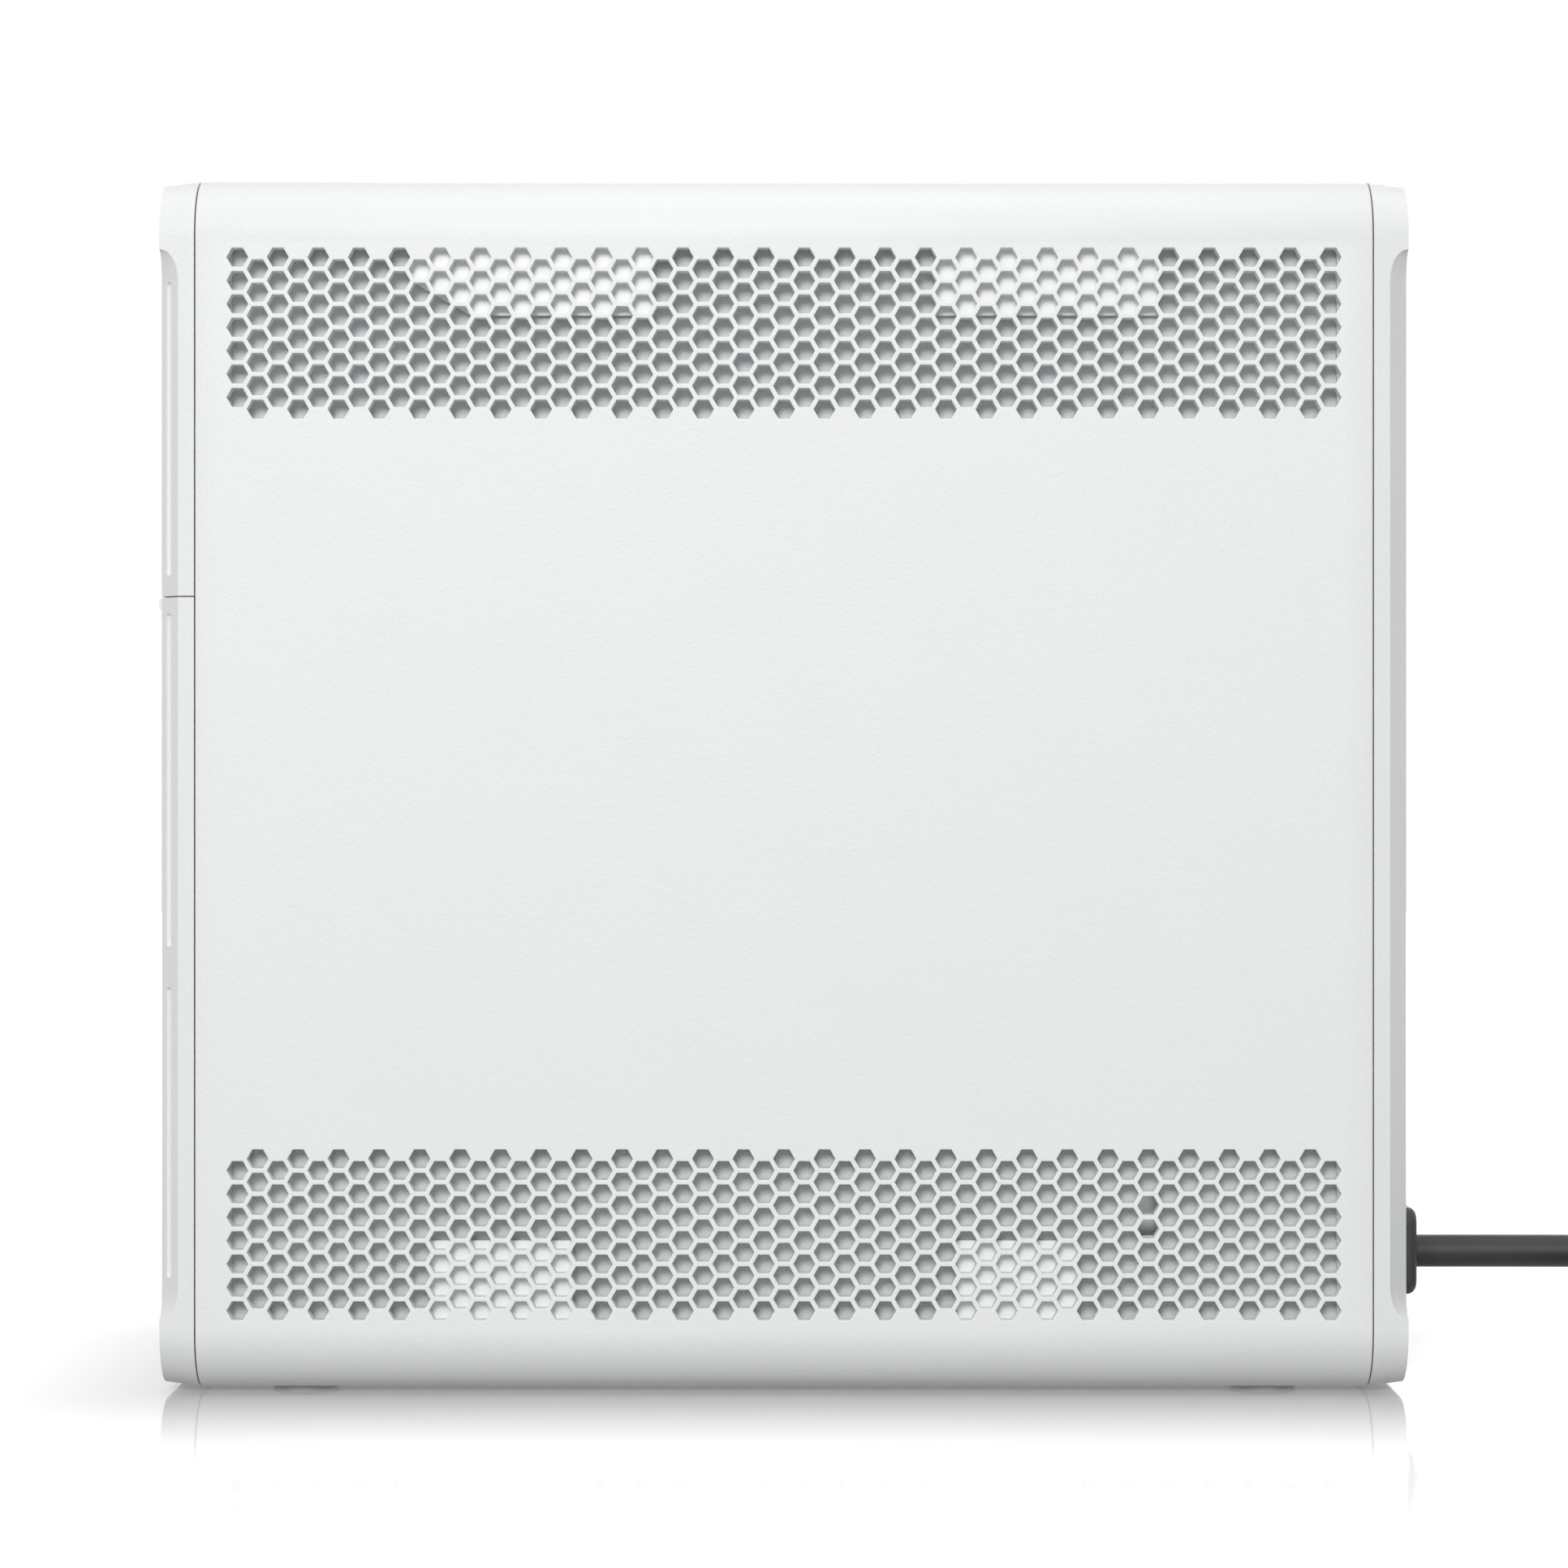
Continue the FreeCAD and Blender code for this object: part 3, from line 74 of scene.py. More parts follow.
class Flow:
    """One number that flows through a node tree; its operators add Math nodes."""

    def __init__(self, bench: "Finish", socket: bpy.types.NodeSocket) -> None:
        """Keeps the finish that owns the tree, and the output socket."""
        self.bench = bench
        self.socket = socket

    def _math(self, operation: str, first: Any, second: Any) -> "Flow":
        """Adds a Math node.

        Args:
            operation: Blender's name of the operation.
            first: the first value or flow.
            second: the second value or flow.

        Returns:
            The result as a flow.
        """
        node = self.bench.node("ShaderNodeMath", {"operation": operation}, {0: first, 1: second})
        return Flow(self.bench, node.outputs[0])

    def __add__(self, other: Any) -> "Flow":
        """Adds."""
        return self._math("ADD", self, other)

    __radd__ = __add__

    def __sub__(self, other: Any) -> "Flow":
        """Subtracts."""
        return self._math("SUBTRACT", self, other)

    def __rsub__(self, other: Any) -> "Flow":
        """Subtracts this flow from a number."""
        return self._math("SUBTRACT", other, self)

    def __mul__(self, other: Any) -> "Flow":
        """Multiplies."""
        return self._math("MULTIPLY", self, other)

    __rmul__ = __mul__

    def __truediv__(self, other: Any) -> "Flow":
        """Divides."""
        return self._math("DIVIDE", self, other)

    def __gt__(self, other: Any) -> "Flow":
        """Gives 1 where this flow is greater."""
        return self._math("GREATER_THAN", self, other)

    def __lt__(self, other: Any) -> "Flow":
        """Gives 1 where this flow is less."""
        return self._math("LESS_THAN", self, other)

    def wave(self) -> "Flow":
        """Gives the sine."""
        return self._math("SINE", self, 0.0)

    def size(self) -> "Flow":
        """Gives the absolute value."""
        return self._math("ABSOLUTE", self, 0.0)

    def root(self) -> "Flow":
        """Gives the square root."""
        return self._math("SQRT", self, 0.0)

    def within(self) -> "Flow":
        """Gives the part after the decimal point."""
        return self._math("FRACT", self, 0.0)

    def most(self, other: Any) -> "Flow":
        """Gives the greater of two."""
        return self._math("MAXIMUM", self, other)

    def least(self, other: Any) -> "Flow":
        """Gives the lesser of two."""
        return self._math("MINIMUM", self, other)


@dataclass(frozen=True)
class Finish:
    """A named material made of nodes; each kind of finish adds its own pattern.

    Attributes:
        name: the material's name.
        colour: its base colour.
        roughness: its mean roughness.
    """

    name: str
    colour: Colour
    roughness: float

    @property
    def title(self) -> str:
        """The material's name, apart from the frame's own materials."""
        return f"{self.name}_finish"

    def node(self, kind: str, settings: dict[str, Any], inputs: dict[Any, Any]) -> bpy.types.Node:
        """Adds one node to the material.

        Args:
            kind: the node's type.
            settings: its properties, which are set first.
            inputs: values, sockets or flows by input name or number.

        Returns:
            The node.
        """
        tree = bpy.data.materials[self.title].node_tree
        made = tree.nodes.new(kind)
        for key, value in settings.items():
            setattr(made, key, value)
        for key, value in inputs.items():
            source = value.socket if isinstance(value, Flow) else value
            if isinstance(source, bpy.types.NodeSocket):
                tree.links.new(source, made.inputs[key])
            else:
                made.inputs[key].default_value = source
        return made

    def place(self, scale: Sequence[float] = (1, 1, 1)) -> Any:
        """Gives the piece's own coordinates.

        Args:
            scale: the pattern's scale along each axis.

        Returns:
            The Mapping node's output.
        """
        source = self.node("ShaderNodeTexCoord", {}, {}).outputs["Object"]
        return self.node("ShaderNodeMapping", {}, {"Vector": source, "Scale": scale}).outputs[0]

    def noise(self, size: float, detail: float = 3.0, scale: Sequence[float] = (1, 1, 1)) -> Flow:
        """Gives soft noise.

        Args:
            size: the width of its blotches, in metres.
            detail: how many finer layers it has.
            scale: its stretch along each axis.

        Returns:
            Values round 0.5.
        """
        made = self.node("ShaderNodeTexNoise", {}, {"Vector": self.place(scale), "Scale": 1 / size,
                                                    "Detail": detail, "Roughness": 0.6})
        return Flow(self, made.outputs[0])

    def cells(self, size: float) -> Flow:
        """Gives the distance within random cells.

        Args:
            size: the cells' width, in metres.

        Returns:
            Values from 0 up.
        """
        made = self.node("ShaderNodeTexVoronoi", {}, {"Vector": self.place(), "Scale": 1 / size})
        return Flow(self, made.outputs["Distance"])

    def along(self, axis: int) -> Flow:
        """Gives the place along one axis, in metres."""
        split = self.node("ShaderNodeSeparateXYZ", {}, {0: self.place()})
        return Flow(self, split.outputs[axis])

    def blend(self, share: Any, first: Any, second: Any) -> Any:
        """Mixes two colours.

        Args:
            share: how much of the second shows.
            first: the first colour or socket.
            second: the second colour or socket.

        Returns:
            The mixed colour's socket.
        """
        ends = [rgba(c) if isinstance(c, tuple) and len(c) == 3 else c for c in (first, second)]
        made = self.node("ShaderNodeMix", {"data_type": "RGBA"}, {0: share, 6: ends[0], 7: ends[1]})
        return made.outputs[2]

    def relief(self, height: Flow, depth: float) -> Any:
        """Turns a height into a normal.

        Args:
            height: the height, from 0 to 1.
            depth: how high 1 is, in metres.

        Returns:
            The normal's socket.
        """
        return self.node("ShaderNodeBump", {}, {"Height": height, "Distance": depth}).outputs[0]

    def shade(self) -> dict[str, Any]:
        """Gives the shader's inputs; each kind of finish has its own."""
        return {"Base Color": rgba(self.colour), "Roughness": self.roughness}

    def make(self) -> bpy.types.Material:
        """Builds the material, or gives the one already built.

        Returns:
            The material.
        """
        known = bpy.data.materials.get(self.title)
        if known is not None:
            return known
        material = bpy.data.materials.new(self.title)
        material.use_nodes = True
        material.node_tree.nodes.clear()
        shader = self.node("ShaderNodeBsdfPrincipled", {}, self.shade())
        self.node("ShaderNodeOutputMaterial", {}, {"Surface": shader.outputs[0]})
        return material


@dataclass(frozen=True)
class SparkedPlastic(Finish):
    """A moulding from a spark-eroded tool: fine even grain over faint mottling.

    Attributes:
        grain: the width of the grain, in metres.
        depth: the height of the grain, in metres.
        mottle: how far the colour drifts.
    """

    grain: float = 0.9 * MM
    depth: float = 0.1 * MM
    mottle: float = 0.02

    def shade(self) -> dict[str, Any]:
        """Gives the shader's inputs."""
        fine = self.noise(self.grain, 4.0)
        broad = self.noise(28 * MM, 2.0)
        dark = tuple(c * (1 - self.mottle) for c in self.colour)
        light = tuple(min(c * (1 + self.mottle), 1.0) for c in self.colour)
        tone = self.blend(broad * 0.6 + fine * 0.4, dark, light)
        rough = self.roughness + (fine - 0.5) * 0.12
        return {"Base Color": tone, "Roughness": rough, "Normal": self.relief(fine, self.depth)}


@dataclass(frozen=True)
class Metal(Finish):
    """Plated or drawn metal, with fine lines along one axis.

    Attributes:
        line: the stretch of the lines along each axis.
        width: the lines' width, in metres.
    """

    line: tuple[float, float, float] = (1.0, 1.0, 30.0)
    width: float = 3.0 * MM

    def shade(self) -> dict[str, Any]:
        """Gives the shader's inputs."""
        drawn = self.noise(self.width, 4.0, self.line)
        stain = self.noise(12 * MM, 2.0)
        worn = tuple(c * 0.86 for c in self.colour)
        tone = self.blend(drawn * 0.5 + stain * 0.5, worn, self.colour)
        rough = self.roughness + (drawn - 0.5) * 0.2
        return {"Base Color": tone, "Metallic": 1.0, "Roughness": rough,
                "Normal": self.relief(drawn, 0.01 * MM)}


@dataclass(frozen=True)
class CircuitBoard(Finish):
    """Solder mask over copper tracks, with tinned pads."""

    def shade(self) -> dict[str, Any]:
        """Gives the shader's inputs."""
        across, up = self.along(0) / (2.4 * MM), self.along(2) / (2.4 * MM)
        bend = self.noise(14 * MM, 0.0) * 5.0
        tracks = ((across + bend).within() - 0.5).size() > 0.36
        other = ((up + bend).within() - 0.5).size() > 0.4
        lines = tracks.most(other * (self.noise(20 * MM, 0.0) > 0.52))
        pads = self.cells(3.1 * MM) < 0.16
        light = tuple(min(c * 1.9 + 0.01, 1.0) for c in self.colour)
        mask = self.blend(lines, self.colour, light)
        tone = self.blend(pads, mask, (0.62, 0.60, 0.52))
        height = lines * 0.5 + pads
        return {"Base Color": tone, "Roughness": self.roughness - pads * 0.1, "Metallic": pads * 0.8,
                "Normal": self.relief(height, 0.04 * MM)}


@dataclass(frozen=True)
class Jacket(Finish):
    """An extruded cord jacket: soft sheen, with faint lines along it."""

    def shade(self) -> dict[str, Any]:
        """Gives the shader's inputs."""
        fine = self.noise(0.9 * MM, 3.0)
        broad = self.noise(15 * MM, 2.0)
        dusty = tuple(c * 1.35 + 0.004 for c in self.colour)
        tone = self.blend(broad * 0.7, self.colour, dusty)
        rough = self.roughness + (fine - 0.5) * 0.15
        return {"Base Color": tone, "Roughness": rough, "Normal": self.relief(fine, 0.02 * MM)}


@dataclass(frozen=True)
class Mesh(Finish):
    """A fine woven screen.

    Attributes:
        pitch: the distance between its wires, in metres.
    """

    pitch: float = 0.7 * MM

    def shade(self) -> dict[str, Any]:
        """Gives the shader's inputs."""
        step = math.tau / self.pitch
        weave = (self.along(0) * step).wave() * (self.along(2) * step).wave()
        height = weave * 0.5 + 0.5
        # Lighter on the weave's raised crossings and darker between them: painted light and shade, mixed with
        # random tone.
        dark = tuple(c * 0.93 for c in self.colour)
        tone = self.blend(height * 0.5 + self.noise(9 * MM, 2.0) * 0.5, dark, self.colour)
        return {"Base Color": tone, "Roughness": self.roughness, "Normal": self.relief(height, 0.02 * MM)}


@dataclass(frozen=True)
class Foam(Finish):
    """Open-celled filter foam or a looped strap."""

    def shade(self) -> dict[str, Any]:
        """Gives the shader's inputs."""
        pores = self.cells(1.1 * MM)
        # Lighter on each pore's raised middle and darker round it: painted highlight and painted shade on the
        # foam's relief.
        light = tuple(c * 2.2 + 0.02 for c in self.colour)
        tone = self.blend(pores, light, self.colour)
        return {"Base Color": tone, "Roughness": self.roughness, "Normal": self.relief(1 - pores, 0.5 * MM)}


@dataclass(frozen=True)
class ClearGuide(Finish):
    """A clear light guide with a satin face, lit from behind.

    Attributes:
        glow: how brightly its lamps show through.
    """

    glow: float = 0.35

    def shade(self) -> dict[str, Any]:
        """Gives the shader's inputs."""
        haze = self.noise(1.2 * MM, 2.0)
        lamps = 1 - ((self.along(1) / (8 * MM) + 0.5).within() - 0.5).size() * 1.6
        cool = self.blend(lamps, (0.25, 0.42, 0.55), (0.75, 0.92, 1.0))
        return {"Base Color": self.blend(haze, self.colour, grey(0.95)), "Roughness": self.roughness + haze * 0.1,
                "Emission Color": cool, "Emission Strength": self.glow, "Transmission Weight": 0.4}


@dataclass(frozen=True)
class PaintedShadowPaper(Finish):
    """The studio's smooth white floor, with painted shadow: its glow is weakest round the case and grows away
    from it, and also paints the wide floor white.

    Attributes:
        shadow_core: half the length and half the width of the case's place, where the painted shadow is darkest.
        least: the glow under the case, which sets how dark the painted shadow is.
        near: how fast the painted shadow gives way to glow, and how much glow is added, as a distance and a
            strength.
        far: the same for the painted light that whitens the wide floor.
    """

    shadow_core: tuple[float, float]
    least: float
    near: tuple[float, float]
    far: tuple[float, float]

    def shade(self) -> dict[str, Any]:
        """Gives the shader's inputs."""
        # Painted shadow: the glow is least inside the case's place and grows with the distance from it, so the
        # floor is dark round the case and white far off.
        beyond = [(self.along(axis).size() - half).most(0.0) for axis, half in enumerate(self.shadow_core)]
        away = (beyond[0] * beyond[0] + beyond[1] * beyond[1]).root()
        steps = [(away / reach).least(1.0) * strength for reach, strength in (self.near, self.far)]
        glow = steps[0] + steps[1] + self.least
        return {"Base Color": rgba(self.colour), "Roughness": self.roughness,
                "Emission Color": self.blend(glow, grey(0.0), grey(1.0)), "Emission Strength": 1.0}


class Shelf(Enum):
    """Every finish on the router."""

    SHELL = SparkedPlastic("white_shell", (0.80, 0.81, 0.815), 0.48)
    COVER = SparkedPlastic("white_cover", (0.79, 0.80, 0.805), 0.46)
    WHITE_BOARD = SparkedPlastic("white_board", (0.79, 0.80, 0.80), 0.35, grain=2 * MM, depth=0.004 * MM)
    SCREEN = Mesh("grey_screen", (0.65, 0.67, 0.67), 0.7)
    FEET = Jacket("feet_rubber", grey(0.4), 0.75)
    PANEL = SparkedPlastic("panel_steel", (0.70, 0.71, 0.72), 0.42, grain=0.9 * MM, depth=0.015 * MM)
    TRAY = Metal("tray_steel", (0.62, 0.63, 0.64), 0.42, line=(1.0, 30.0, 30.0), width=1.0 * MM)
    SCREW = Metal("screw_steel", (0.55, 0.56, 0.57), 0.3, width=0.8 * MM)
    BLACK = SparkedPlastic("black_plastic", (0.040, 0.043, 0.045), 0.44, grain=0.5 * MM, mottle=0.08)
    FAN = SparkedPlastic("fan_plastic", grey(0.03), 0.4, grain=1.5 * MM, mottle=0.1)
    CORD = Jacket("cord_jacket", (0.016, 0.017, 0.017), 0.5)
    BOARD = CircuitBoard("circuit_board", (0.012, 0.085, 0.045), 0.35)
    CHIP = SparkedPlastic("chip_black", grey(0.03), 0.55, grain=0.25 * MM, mottle=0.12)
    SINK = Metal("heat_sink", (0.75, 0.76, 0.77), 0.35, line=(1.0, 25.0, 25.0), width=1.0 * MM)
    CAN = Metal("can_steel", (0.72, 0.73, 0.74), 0.28, line=(20.0, 1.0, 20.0), width=1.5 * MM)
    COPPER = Metal("copper", (0.80, 0.42, 0.22), 0.35, width=0.7 * MM)
    GOLD = Metal("contact_gold", (0.86, 0.66, 0.30), 0.25, width=0.7 * MM)
    GUIDE = ClearGuide("clear_guide", (0.85, 0.90, 0.94), 0.25)
    LAMP = SparkedPlastic("light_chip", (0.82, 0.84, 0.70), 0.3, grain=0.4 * MM)
    BUTTON = SparkedPlastic("button_grey", (0.60, 0.62, 0.64), 0.4)
    FOAM = Foam("filter_foam", grey(0.05), 0.95)
    NYLON = SparkedPlastic("nylon", (0.75, 0.74, 0.69), 0.4, grain=1.0 * MM)
    FERRITE = SparkedPlastic("ferrite", grey(0.08), 0.6, grain=0.4 * MM, mottle=0.15)
    SLEEVE = SparkedPlastic("capacitor_sleeve", (0.02, 0.03, 0.09), 0.25, grain=2.0 * MM)
    STRAP = Foam("strap", grey(0.04), 0.95)

    def on(self, piece: bpy.types.Object) -> None:
        """Puts this finish on all of a piece."""
        piece.data.materials.clear()
        piece.data.materials.append(self.value.make())


# ---------------------------------------------------------------- modelling by operators

Point = Sequence[float]
Test = Callable[[Any], bool]


def only(*pieces: bpy.types.Object) -> None:
    """Selects these pieces alone and makes the last of them active."""
    bpy.ops.object.select_all(action="DESELECT")
    for piece in pieces:
        piece.select_set(True)
        bpy.context.view_layer.objects.active = piece


class Work:
    """A mesh on the bench, shaped in edit mode by operators."""

    def __init__(self, piece: bpy.types.Object) -> None:
        """Takes a mesh onto the bench."""
        self.piece = piece

    def __enter__(self) -> "Work":
        """Opens the mesh for editing."""
        only(self.piece)
        bpy.ops.object.mode_set(mode="EDIT")
        return self

    def __exit__(self, *_: Any) -> None:
        """Closes the mesh."""
        bpy.ops.object.mode_set(mode="OBJECT")

    def all(self) -> None:
        """Selects the whole mesh."""
        bpy.ops.mesh.select_all(action="SELECT")

    def edges(self, test: Test) -> None:
        """Selects the edges that pass a test.

        Args:
            test: is given each edge.
        """
        bpy.ops.mesh.select_mode(type="EDGE")
        bpy.ops.mesh.select_all(action="DESELECT")
        mesh = bmesh.from_edit_mesh(self.piece.data)
        for edge in [edge for edge in mesh.edges if test(edge)]:
            edge.select_set(True)
        mesh.select_flush(True)
        bmesh.update_edit_mesh(self.piece.data)

    def grow(self, step: Point) -> None:
        """Extrudes the selected edges and moves them."""
        bpy.ops.mesh.extrude_edges_move(TRANSFORM_OT_translate={"value": step})

    def shrink(self, factor: float, centre: Point = (0, 0, 0), step: Point = (0, 0, 0)) -> None:
        """Extrudes the selected edges, scales them in X and Z about a centre, and moves them."""
        bpy.ops.mesh.extrude_edges_move()
        bpy.ops.transform.resize(value=(factor, 1, factor), center_override=centre)
        bpy.ops.transform.translate(value=step)

    def merge(self, distance: float = 0.002 * MM) -> None:
        """Merges the points that coincide."""
        self.all()
        bpy.ops.mesh.remove_doubles(threshold=distance)

    def outward(self) -> None:
        """Turns every face outwards."""
        self.all()
        bpy.ops.mesh.normals_make_consistent(inside=False)


def lies(edge: Any, axis: int, place: float, slack: float = CLOSE) -> bool:
    """Tells whether an edge lies in a plane.

    Args:
        edge: the edge.
        axis: the axis that the plane is square to.
        place: where the plane crosses it.
        slack: how far off the ends may be.

    Returns:
        True if both ends lie in it.
    """
    return all(abs(corner.co[axis] - place) < slack for corner in edge.verts)


def modify(piece: bpy.types.Object, kind: str, **settings: Any) -> None:
    """Adds a modifier to a piece and applies it.

    Args:
        piece: the piece.
        kind: the modifier's type.
        settings: its properties.
    """
    only(piece)
    modifier = piece.modifiers.new(kind.title(), kind)
    for key, value in settings.items():
        setattr(modifier, key, value)
    bpy.ops.object.modifier_apply(modifier=modifier.name)


def smooth(piece: bpy.types.Object, angle: float = 35.0) -> None:
    """Shades a piece smooth up to an angle, in degrees."""
    only(piece)
    bpy.ops.object.shade_smooth_by_angle(angle=math.radians(angle))


def moulded(node: str, name: str, radius: float, sharp: float = 40.0, dissolve: bool = True) -> bpy.types.Object:
    """Makes a moulding from a node of the frame, with its edges broken.

    Args:
        node: the node whose mesh it starts from.
        name: the new piece's name.
        radius: the size of its edge rounding, or 0 for none.
        sharp: how sharp an edge has to be to be rounded, in degrees.
        dissolve: whether flat faces are made whole first, which a face with many slots can't be.

    Returns:
        The piece, which replaces the node.
    """
    source = bpy.data.objects[node]
    piece = bpy.data.objects.new(name, source.data.copy())
    bpy.context.scene.collection.objects.link(piece)
    only(piece)
    bpy.ops.mesh.customdata_custom_splitnormals_clear()
    with Work(piece) as work:
        work.merge(0.001 * MM)
        if dissolve:
            work.all()
            bpy.ops.mesh.dissolve_limited(angle_limit=math.radians(0.5))
    smooth(piece)
    if radius:
        modify(piece, "BEVEL", width=radius, harden_normals=True, segments=3, limit_method="ANGLE",
               angle_limit=math.radians(sharp), use_clamp_overlap=True, profile=0.5, miter_outer="MITER_ARC")
    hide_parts(node)
    return piece


# ---------------------------------------------------------------- cord


@dataclass
class MainsLead:
    """The mains lead: its connector in the inlet, the cord, its put-away coil and the plug.

    Attributes:
        diameter: the cord's diameter.
        out: the route's first points, straight out of the connector and down onto the coil.
        centre: the middle of the coil.
        lanes: the radii of its inner and outer turns.
        levels: the heights of its turns.
        turn_points: control points in a turn.
        shift: a turn crosses to the next lane in its last part of this many.
        spread: how far the points stand out to make up for the curve's cut corners, as a power.
        tail: the route's last points, from the coil to the plug.
    """

    diameter: float = 8.5 * MM
    out: tuple[Point, ...] = ((0.1631, 0.0, 0.0299), (0.205, 0.0, 0.0299), (0.2165, 0.0, 0.0297),
                              (0.238, 0.0, 0.0222))
    centre: tuple[float, float] = (0.252, -0.04775)
    lanes: tuple[float, float] = (0.03925, 0.04775)
    levels: tuple[float, float, float] = (0.00515, 0.01365, 0.02215)
    turn_points: int = 14
    shift: int = 5
    spread: float = 0.75
    tail: tuple[Point, ...] = ((0.233, 0.0044, 0.013), (0.2602, 0.0107, 0.0095), (0.2881, 0.002, 0.008),
                               (0.3085, -0.0177, 0.01), (0.318, -0.042, 0.01))

    def turns(self) -> list[Point]:
        """Works out the coil's points: each lane in turn, clockwise from above.

        Returns:
            The points, in the order that the cord follows.
        """
        low, middle, high = self.levels
        inner, outer = self.lanes
        order = ((outer, high), (inner, high), (inner, middle), (inner, low), (outer, low), (outer, middle))
        spread = 1 / math.cos(math.pi / self.turn_points) ** self.spread
        points = []
        total = len(order) * self.turn_points - 2
        for step in range(1, total):
            angle = math.pi / 2 - math.tau * step / self.turn_points
            lane = step / self.turn_points
            first = int(lane)
            share = max(0.0, (lane - first) * self.shift - (self.shift - 1))
            radius, height = order[first]
            if first + 1 < len(order):
                radius += (order[first + 1][0] - radius) * share
                height += (order[first + 1][1] - height) * share
            radius *= spread
            points.append((self.centre[0] + radius * math.cos(angle), self.centre[1] + radius * math.sin(angle),
                           height))
        return points

    def cord(self) -> bpy.types.Object:
        """Lays the cord along its route.

        Returns:
            The cord.
        """
        curve = bpy.data.curves.new("mains_cord", "CURVE")
        curve.dimensions = "3D"
        curve.bevel_depth = self.diameter / 2
        curve.bevel_resolution = 5
        curve.resolution_u = 6
        curve.use_fill_caps = True
        points = [*self.out, *self.turns(), *self.tail]
        spline = curve.splines.new("NURBS")
        spline.points.add(len(points) - 1)
        for point, place in zip(spline.points, points):
            point.co = (*place, 1.0)
        spline.order_u = 3
        spline.use_endpoint_u = True
        cord = bpy.data.objects.new("mains_cord", curve)
        bpy.context.scene.collection.objects.link(cord)
        Shelf.CORD.on(cord)
        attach(cord, "case")
        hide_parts("power_cord", "cord_coil", "cord_tail")
        return cord

    def build(self) -> list[bpy.types.Object]:
        """Returns:
            The lead's pieces.
        """
        cord = self.cord()
        connector = moulded("appliance_connector", "lead_connector", 0.0, dissolve=False)
        plug = moulded("wall_plug", "lead_plug", 1.0 * MM, 50)
        for piece in (connector, plug):
            Shelf.BLACK.on(piece)
            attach(piece, "case")
        return [cord, connector, plug]


# ---------------------------------------------------------------- case


